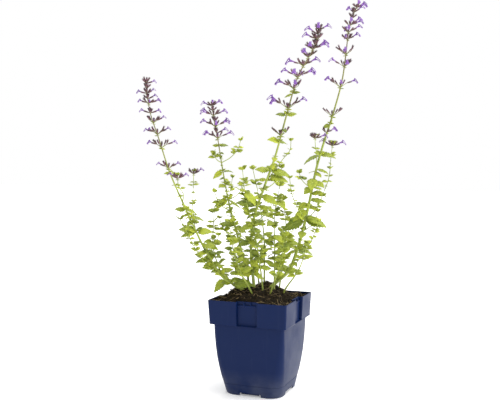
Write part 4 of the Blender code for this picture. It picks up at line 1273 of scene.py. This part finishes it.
def make_leaves(growth, masters, material):
    """A node's leaves, each folded and tinted by its own draws."""
    shape = bmesh.new()
    draw = random.Random(len(growth.leaves))
    for leaf in growth.leaves:
        length = leaf[4]
        master = masters[0 if length >= LARGE_LEAF else 1 if length >= MEDIUM_LEAF else 2]
        young = max(0.0, 1.0 - length / YOUNG_LEAF)
        tint = min(1.0, max(0.0, draw.gauss(0.4, 0.28) + 0.25 * young))
        copy_shape(shape, master, bend_leaf(leaf, draw.uniform(*FOLDS), draw.uniform(*CURLS)), tint)
    piece(growth.name + "_leaves", shape, growth.name, material)


def make_calyces(growth, master, material):
    """A node's calyces, the young ones thinner."""
    shape = bmesh.new()
    draw = random.Random(len(growth.calyces))
    for _, centre, along, length in growth.calyces:
        thick = CALYX_THICK * min(1.0, length / CALYX_FULL)
        copy_shape(shape, master, bend_straight(centre, along, length * CALYX_STRETCH, thick),
                   draw.random())
    piece(growth.name + "_calyces", shape, growth.name, material)


def size_in_box(base, along, size):
    """A flower's size, made smaller where it would reach past the solids' box."""
    low, high = SOLID_BOX
    for _ in range(SIZE_TRIES):
        tip = place(base + along * size)
        if all(low[k] - BOX_SPARE * MM < tip[k] < high[k] + BOX_SPARE * MM for k in range(3)):
            break
        size *= SIZE_STEP
    return size


def make_corollas(growth, master, material):
    """A node's open flowers, kept within reach of the solids' box."""
    shape = bmesh.new()
    draw = random.Random(len(growth.corollas))
    for base, along, length in growth.corollas:
        size = size_in_box(base, along, length * COROLLA_STRETCH[growth.name])
        copy_shape(shape, master, bend_straight(base, along, size, size), draw.random())
    piece(growth.name + "_corollas", shape, growth.name, material)


def outline(half, radius, depth=0.0):
    """The pot from above: a rounded square with a shallow recess in each side."""
    steps = [(-RECESS_HALF_WIDTH - outside, share) for outside, share in RECESS_EDGE]
    side = [(along, half - depth * share) for along, share in steps]
    side.extend((-along, half - depth * share) for along, share in reversed(steps))
    for index in range(CORNER_STEPS + 1):
        angle = math.radians(90 - 90 * index / CORNER_STEPS)
        side.append((half - radius + radius * math.cos(angle),
                     half - radius + radius * math.sin(angle)))
    ring = []
    for quarter in range(4):
        turn = Matrix.Rotation(math.radians(90 * quarter), 3, "Z")
        ring.extend(turn @ Vector((along, -out, 0.0)) for along, out in side)
    return ring


def loft(shape, levels):
    """Joins the outline at each level with quads and closes both ends."""
    loops = [[shape.verts.new((point + UP * height) * MM) for point in outline(*rest)]
             for height, *rest in levels]
    for low, high in zip(loops, loops[1:]):
        for index in range(len(low)):
            after = (index + 1) % len(low)
            shape.faces.new((low[index], low[after], high[after], high[index]))
    shape.faces.new(loops[0][::-1])
    shape.faces.new(loops[-1])
    bmesh.ops.recalc_face_normals(shape, faces=shape.faces)


def cut_with(obj, cutter):
    """Takes a cutter's shape out of an object."""
    boolean = obj.modifiers.new("cut", "BOOLEAN")
    boolean.operation = "DIFFERENCE"
    boolean.object = cutter
    boolean.solver = "EXACT"
    bpy.context.view_layer.objects.active = obj
    bpy.ops.object.modifier_apply(modifier=boolean.name)
    bpy.data.objects.remove(cutter, do_unlink=True)


def rounded_box(size, centre, turn, edge):
    """A box with bevelled edges, turned about the pot's middle."""
    at = Matrix.Rotation(turn, 3, "Z") @ Vector(centre) * MM
    obj = add_primitive(bpy.ops.mesh.primitive_cube_add, size=1.0, location=at,
                        rotation=(0, 0, turn), scale=Vector(size) * MM)
    bpy.ops.object.transform_apply(location=True, rotation=True, scale=True)
    with editing(obj):
        bpy.ops.mesh.select_all(action="SELECT")
        bpy.ops.mesh.bevel(offset=edge * MM, segments=2, affect="EDGES")
    return obj


def side_lugs(turn, foot):
    """One side's lip bar and two ribs in its recess, and the stiffener behind its skirt's cut."""
    wall = RIM_HALF - RIM_RECESS_DEPTH
    lugs = [rounded_box(LIP_BAR_SIZE, (0, -wall - LIP_BAR_OUT, LEDGE_HEIGHT + LIP_BAR_RAISE), turn,
                        LUG_EDGE)]
    for offset in (-RIB_OFFSET, RIB_OFFSET):
        lugs.append(rounded_box((RIB_WIDTH, RIB_DEPTH, RIM_HEIGHT - LEDGE_HEIGHT - 1.6),
                                (offset, -wall - RIB_OUT, (RIM_HEIGHT + LEDGE_HEIGHT + 0.6) / 2),
                                turn, RIB_EDGE))
    aside, inside, middle = STIFFENER_PLACE
    lugs.append(rounded_box(STIFFENER_SIZE, (aside, inside - foot, middle), turn, LUG_EDGE))
    return lugs


def make_pot(material):
    """The pot, with its foot cut in each side, its drain holes, its lugs and its foot pad."""
    shape = bmesh.new()
    loft(shape, [*UNDER_LEVELS, *BODY_LEVELS, *COLLAR_LEVELS, *INNER_LEVELS])
    pot = piece("pot_shell", shape, "pot", material)
    foot = BODY_LEVELS[1][1]
    for quarter in range(4):
        turn = math.radians(90 * quarter)
        cut_with(pot, rounded_box(SKIRT_CUT_SIZE, (0, -foot, 0), turn, SKIRT_CUT_EDGE))
        drain = Matrix.Rotation(turn + math.radians(45), 3, "Z") \
            @ Vector((0, -DRAIN_OFFSET, DRAIN_HEIGHT))
        cutter = add_primitive(bpy.ops.mesh.primitive_cylinder_add, vertices=24,
                               radius=DRAIN_RADIUS * MM, depth=DRAIN_CUT_DEPTH * MM,
                               location=drain * MM)
        bpy.ops.object.transform_apply(location=True, rotation=True, scale=True)
        cut_with(pot, cutter)
    lugs = [lug for quarter in range(4) for lug in side_lugs(math.radians(90 * quarter), foot)]
    pad_height = FLOOR_UNDERSIDE + FOOT_PAD_SINK
    pad = add_primitive(bpy.ops.mesh.primitive_cylinder_add, vertices=32,
                        radius=FOOT_PAD_RADIUS * MM, depth=pad_height * MM,
                        location=(0, 0, pad_height / 2 * MM))
    bpy.ops.object.transform_apply(location=True, rotation=True, scale=True)
    bpy.ops.object.select_all(action="DESELECT")
    for obj in (*lugs, pad, pot):
        obj.data.materials.clear()
        obj.data.materials.append(material)
        obj.select_set(True)
    bpy.context.view_layer.objects.active = pot
    bpy.ops.object.join()
    bpy.ops.object.shade_smooth_by_angle(angle=SMOOTH_ANGLE)


def soil_top(x, y):
    """The compost's fine surface height, broken up in three sizes, with the heap at the left."""
    at = Vector((x, y, 0.0))
    height = max(soil_height(x, y), SOIL_EDGE_HEIGHT) + SOIL_RAISE
    height += sum(size * noise.noise(at * frequency + Vector((shift, 0, 0)))
                  for size, frequency, shift in SOIL_LUMPS)
    height += GRAIN_HEIGHT * abs(noise.noise(at * GRAIN_FREQUENCY))
    height += HEAP_HEIGHT * math.exp(-((x + SOIL_HALF) / HEAP_ACROSS) ** 2
                                     - ((y - HEAP_MIDDLE) / HEAP_ALONG) ** 2)
    return height


def inside_pot(x, y):
    """The nearest place to x, y that the compost reaches inside the pot's wall."""
    half_x = SOIL_RECESS_HALF if abs(y) < RECESS_HALF_WIDTH + RECESS_MARGIN else SOIL_HALF
    half_y = SOIL_RECESS_HALF if abs(x) < RECESS_HALF_WIDTH + RECESS_MARGIN else SOIL_HALF
    return max(-half_x, min(half_x, x)), max(-half_y, min(half_y, y))


def held_inside(point):
    """A point of a fibre, kept off the pot's wall."""
    x, y = inside_pot(point.x * WALL_SPARE, point.y * WALL_SPARE)
    return Vector((x / WALL_SPARE, y / WALL_SPARE, point.z))


def resting_place(draw):
    """A random place on the compost, and a random turn for a crumb that lies there."""
    x, y = inside_pot(draw.uniform(-SOIL_HALF, SOIL_HALF), draw.uniform(-SOIL_HALF, SOIL_HALF))
    turned = Euler([draw.uniform(0, math.tau) for _ in range(3)]).to_matrix()
    return Vector((x, y, soil_top(x, y))), turned


def add_crumb(shape, master, draw):
    """One grain of compost, turned and sized by chance."""
    at, turned = resting_place(draw)
    size = Vector([draw.choice(CRUMB_SIZES) * draw.uniform(0.6, 1.2) for _ in range(3)])
    copy_shape(shape, master, lambda co: (at + turned @ (co * size)) * MM, draw.random() ** 2)


def add_fibre(shape, master, draw):
    """One bowed fibre on the compost, tilted a little and kept inside the pot's wall."""
    at, _ = resting_place(draw)
    length, bow = draw.uniform(*FIBRE_LENGTHS), draw.uniform(-FIBRE_BOW, FIBRE_BOW)
    turned = Euler((draw.uniform(0, 6), draw.uniform(-0.5, 0.15),
                    draw.uniform(0, math.tau))).to_matrix()
    thick = draw.uniform(*FIBRE_THICKNESSES)

    def bend(co):
        aside = co.y * thick + bow * length * co.x * (1 - co.x) * 2
        strand = Vector((co.x * length, aside, co.z * thick))
        return held_inside(at + UP * FIBRE_RAISE + turned @ strand) * MM
    copy_shape(shape, master, bend, draw.random())


def compost_top(material):
    """The compost's broken surface, as a thin shell that fills the pot from wall to wall."""
    top = add_primitive(bpy.ops.mesh.primitive_grid_add, x_subdivisions=SOIL_CELLS,
                        y_subdivisions=SOIL_CELLS, size=2 * SOIL_HALF * MM)
    for vert in top.data.vertices:
        x, y = inside_pot(vert.co.x / MM, vert.co.y / MM)
        vert.co = Vector((x, y, soil_top(x, y))) * MM
    wall = top.modifiers.new("wall", "SOLIDIFY")
    wall.thickness = SOIL_THICKNESS * MM
    bpy.ops.object.modifier_apply(modifier=wall.name)
    set_attribute(top.data, "tint", [0.15] * len(top.data.vertices))
    top.data.materials.append(material)
    top.data.shade_smooth()
    top.name = top.data.name = "compost_surface"
    return top


def make_soil(colours):
    """The compost's surface, crumbs and fibres over its solid, which stays in place."""
    compost = soil_material(colours)
    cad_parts["soil"].data.materials.clear()
    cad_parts["soil"].data.materials.append(compost)
    surface = [compost_top(compost)]
    draw = random.Random(SOIL_SEED)
    crumbs, fibres = bmesh.new(), bmesh.new()
    crumb, fibre = crumb_master(), fibre_master()
    for _ in range(CRUMBS):
        add_crumb(crumbs, crumb, draw)
    for _ in range(FIBRES):
        add_fibre(fibres, fibre, draw)
    for name, shape, material in (("compost_crumbs", crumbs, compost),
                                  ("peat_fibres", fibres, fibre_material(colours))):
        surface.append(new_object(name, shape, material))
    for obj in surface:
        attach(obj, "root")


# Stage

def make_floor(colour):
    """A wide sheet of faintly glowing paper under the pot."""
    floor = add_primitive(bpy.ops.mesh.primitive_plane_add, size=FLOOR_SIZE)
    floor.name = "studio_floor"
    material, _, shader = new_material("floor_paper", roughness=0.9)
    shader.inputs["Base Color"].default_value = (*colour, 1.0)
    shader.inputs["Emission Color"].default_value = (1.0, 1.0, 1.0, 1.0)
    shader.inputs["Emission Strength"].default_value = FLOOR_GLOW
    floor.data.materials.append(material)


def add_light(name, kind, power):
    """A light of a kind and power, to be placed and turned."""
    light = bpy.data.lights.new(name, kind)
    light.energy = power
    obj = bpy.data.objects.new(name, light)
    bpy.context.scene.collection.objects.link(obj)
    return obj


def add_softbox(name, azimuth, height, distance, size, power):
    """A square soft light that faces the plant, at an azimuth seen from above."""
    angle = math.radians(azimuth)
    at = Vector((math.cos(angle), math.sin(angle), 0.0)) * distance + UP * height
    obj = add_light(name, "AREA", power)
    obj.data.size = size
    obj.location = at
    obj.rotation_euler = (SOFTBOX_AIM - at).to_track_quat("-Z", "Y").to_euler()


def add_sky_light(power):
    """A broad soft light from straight above, tilted a little from behind the plant."""
    obj = add_light("sky_light", "SUN", power)
    obj.data.angle = SKY_SPREAD
    obj.rotation_euler = SKY_TILT


def make_world(front, back):
    """A pale studio, brighter behind the plant than in front of it."""
    world = bpy.data.worlds.new("studio")
    world.use_nodes = True
    tree = world.node_tree
    way = node(tree, "ShaderNodeTexCoord").outputs["Generated"]
    facing = node(tree, "ShaderNodeVectorMath", {0: way, 1: CAMERA_AHEAD}, operation="DOT_PRODUCT")
    strength = stretch(tree, facing.outputs["Value"], *HORIZON, front, back)
    background = tree.nodes["Background"]
    background.inputs["Color"].default_value = (1, 1, 1, 1)
    tree.links.new(strength, background.inputs["Strength"])
    bpy.context.scene.world = world


def make_camera(stage):
    """The camera, placed across, back and up from the pot's foot."""
    data = bpy.data.cameras.new("camera")
    data.lens = stage.lens
    data.sensor_width = 36.0
    data.clip_start = 0.02
    camera = bpy.data.objects.new("camera", data)
    camera.location = CAMERA_RIGHT * stage.camera_aside - CAMERA_AHEAD * stage.camera_distance \
        + UP * stage.camera_height
    look = CAMERA_AHEAD * math.cos(stage.camera_pitch) - UP * math.sin(stage.camera_pitch)
    camera.rotation_euler = look.to_track_quat("-Z", "Y").to_euler()
    bpy.context.scene.collection.objects.link(camera)
    bpy.context.scene.camera = camera


# Settings, operators and panel

def colour_property(name, description, default):
    return bpy.props.FloatVectorProperty(name=name, description=description, default=default,
                                         subtype="COLOR", size=3, min=0.0, max=1.0)


class CatmintColours(bpy.types.PropertyGroup):
    """The plant's, pot's and compost's colours."""

    leaf_dark: colour_property("Leaf, dark", "Colour of the older leaves", (0.145, 0.21, 0.018))
    leaf_light: colour_property("Leaf, light", "Colour of the younger leaves", (0.62, 0.69, 0.055))
    vein: colour_property("Vein", "Colour of the leaves' veins", (0.54, 0.62, 0.13))
    stem_dark: colour_property("Stem, dark", "Darker patches of the stems", (0.22, 0.28, 0.035))
    stem_light: colour_property("Stem, light", "Colour of the stems", (0.42, 0.50, 0.07))
    stem_flush: colour_property("Stem, flush", "Colour of the stems among flowers",
                                (0.17, 0.12, 0.06))
    calyx_dark: colour_property("Calyx, dark", "Darkest calyces", (0.040, 0.008, 0.024))
    calyx_light: colour_property("Calyx, light", "Lightest calyces", (0.17, 0.05, 0.10))
    calyx_green: colour_property("Calyx, foot", "Foot of each calyx", (0.17, 0.13, 0.06))
    petal_deep: colour_property("Petal, deep", "Throat and specks", (0.13, 0.03, 0.30))
    petal_mid: colour_property("Petal", "Lips of the flowers", (0.27, 0.10, 0.47))
    petal_pale: colour_property("Petal, tube", "Foot of the flower tubes", (0.38, 0.21, 0.46))
    pot: colour_property("Pot", "Colour of the pot's plastic", (0.003, 0.013, 0.066))
    # This grey is both a film of dust and the painted reflection of the pale floor that pales the
    # pot towards its foot.
    pot_dust_and_floor_reflection: colour_property("Dust", "Film of dust on the pot", (0.16, 0.17, 0.20))
    soil_dark: colour_property("Compost, dark", "Moist crumbs", (0.005, 0.004, 0.002))
    soil_light: colour_property("Compost, light", "Drier crumbs", (0.045, 0.030, 0.013))
    fibre_dark: colour_property("Fibre, dark", "Darkest fibres", (0.05, 0.03, 0.015))
    fibre_light: colour_property("Fibre, light", "Straw-coloured fibres", (0.36, 0.26, 0.12))


class CatmintStage(bpy.types.PropertyGroup):
    """The camera, floor and studio light."""

    lens: bpy.props.FloatProperty(name="Lens", description="Focal length in millimetres",
                                  default=53.47, min=20.0, max=200.0)
    camera_distance: bpy.props.FloatProperty(
        name="Distance", description="Camera's distance from the plant", default=0.8389,
        unit="LENGTH")
    camera_aside: bpy.props.FloatProperty(
        name="Aside", description="Camera's place across its view", default=-0.0126,
        unit="LENGTH")
    camera_height: bpy.props.FloatProperty(
        name="Height", description="Camera's height above the floor", default=0.2583,
        unit="LENGTH")
    camera_pitch: bpy.props.FloatProperty(
        name="Pitch", description="How far the camera looks down", default=math.radians(2.9),
        unit="ROTATION")
    floor_colour: colour_property("Floor", "Colour of the floor", (0.9, 0.9, 0.9))
    sky_power: bpy.props.FloatProperty(name="Sky light", description="Power of the light above",
                                       default=1.9, min=0.0)
    front_glow: bpy.props.FloatProperty(name="Front glow", default=0.75, min=0.0,
                                        description="Brightness of the studio before the plant")
    back_glow: bpy.props.FloatProperty(name="Back glow", default=1.0, min=0.0,
                                       description="Brightness of the studio behind the plant")
    side_power: bpy.props.FloatProperty(name="Side light", description="Power of the side softbox",
                                        default=9.5, min=0.0)


def settings():
    return bpy.context.scene.catmint_colours


class CATMINT_OT_pot(bpy.types.Operator):
    """Model the pot"""

    bl_idname = "catmint.pot"
    bl_label = "Pot"

    def execute(self, context):
        make_pot(pot_material(settings()))
        return {"FINISHED"}


class CATMINT_OT_soil(bpy.types.Operator):
    """Model the compost's surface, crumbs and fibres"""

    bl_idname = "catmint.soil"
    bl_label = "Compost"

    def execute(self, context):
        make_soil(settings())
        return {"FINISHED"}


class CATMINT_OT_stems(bpy.types.Operator):
    """Model the stems, side shoots and flower stalks"""

    bl_idname = "catmint.stems"
    bl_label = "Stems"

    def execute(self, context):
        material = stem_material(settings())
        for growth in GROWTHS:
            make_stems(growth, material)
        return {"FINISHED"}


class CATMINT_OT_leaves(bpy.types.Operator):
    """Model a leaf in three sizes and copy it to its places"""

    bl_idname = "catmint.leaves"
    bl_label = "Leaves"

    def execute(self, context):
        material = leaf_material(settings())
        masters = [blade_master(*cells) for cells in BLADE_CELLS]
        for growth in GROWTHS:
            make_leaves(growth, masters, material)
        return {"FINISHED"}


class CATMINT_OT_flowers(bpy.types.Operator):
    """Model a calyx and a flower and copy them to their places"""

    bl_idname = "catmint.flowers"
    bl_label = "Flowers"

    def execute(self, context):
        calyx, corolla = calyx_master(), corolla_master()
        skin, petal = calyx_material(settings()), corolla_material(settings())
        for growth in GROWTHS:
            if growth.calyces:
                make_calyces(growth, calyx, skin)
            if growth.corollas:
                make_corollas(growth, corolla, petal)
        return {"FINISHED"}


class CATMINT_OT_stage(bpy.types.Operator):
    """Set up the floor, the studio light and the camera"""

    bl_idname = "catmint.stage"
    bl_label = "Stage"

    def execute(self, context):
        stage = context.scene.catmint_stage
        make_floor(stage.floor_colour)
        make_world(stage.front_glow, stage.back_glow)
        add_sky_light(stage.sky_power)
        add_softbox("side_softbox", azimuth=10, height=0.5, distance=1.3, size=1.0,
                    power=stage.side_power)
        make_camera(stage)
        bpy.context.scene.view_settings.view_transform = "Standard"
        return {"FINISHED"}


class CATMINT_PT_panel(bpy.types.Panel):
    """Builds the catmint piece by piece"""

    bl_label = "Catmint"
    bl_idname = "CATMINT_PT_panel"
    bl_space_type = "VIEW_3D"
    bl_region_type = "UI"
    bl_category = "Catmint"

    def draw(self, context):
        for operator in OPERATORS:
            self.layout.operator(operator.bl_idname)
        for group in (context.scene.catmint_colours, context.scene.catmint_stage):
            box = self.layout.box()
            for key in group.bl_rna.properties.keys():
                if key not in {"rna_type", "name"}:
                    box.prop(group, key)


OPERATORS = (CATMINT_OT_pot, CATMINT_OT_soil, CATMINT_OT_stems, CATMINT_OT_leaves,
             CATMINT_OT_flowers, CATMINT_OT_stage)
CLASSES = (CatmintColours, CatmintStage, *OPERATORS, CATMINT_PT_panel)


def register():
    for cls in CLASSES:
        bpy.utils.register_class(cls)
    bpy.types.Scene.catmint_colours = bpy.props.PointerProperty(type=CatmintColours)
    bpy.types.Scene.catmint_stage = bpy.props.PointerProperty(type=CatmintStage)


def unregister():
    del bpy.types.Scene.catmint_stage
    del bpy.types.Scene.catmint_colours
    for cls in reversed(CLASSES):
        bpy.utils.unregister_class(cls)


def main():
    register()
    mottle_group()
    bpy.ops.catmint.pot()
    bpy.ops.catmint.soil()
    bpy.ops.catmint.stems()
    bpy.ops.catmint.leaves()
    bpy.ops.catmint.flowers()
    bpy.ops.catmint.stage()


if __name__ == "__main__":
    main()
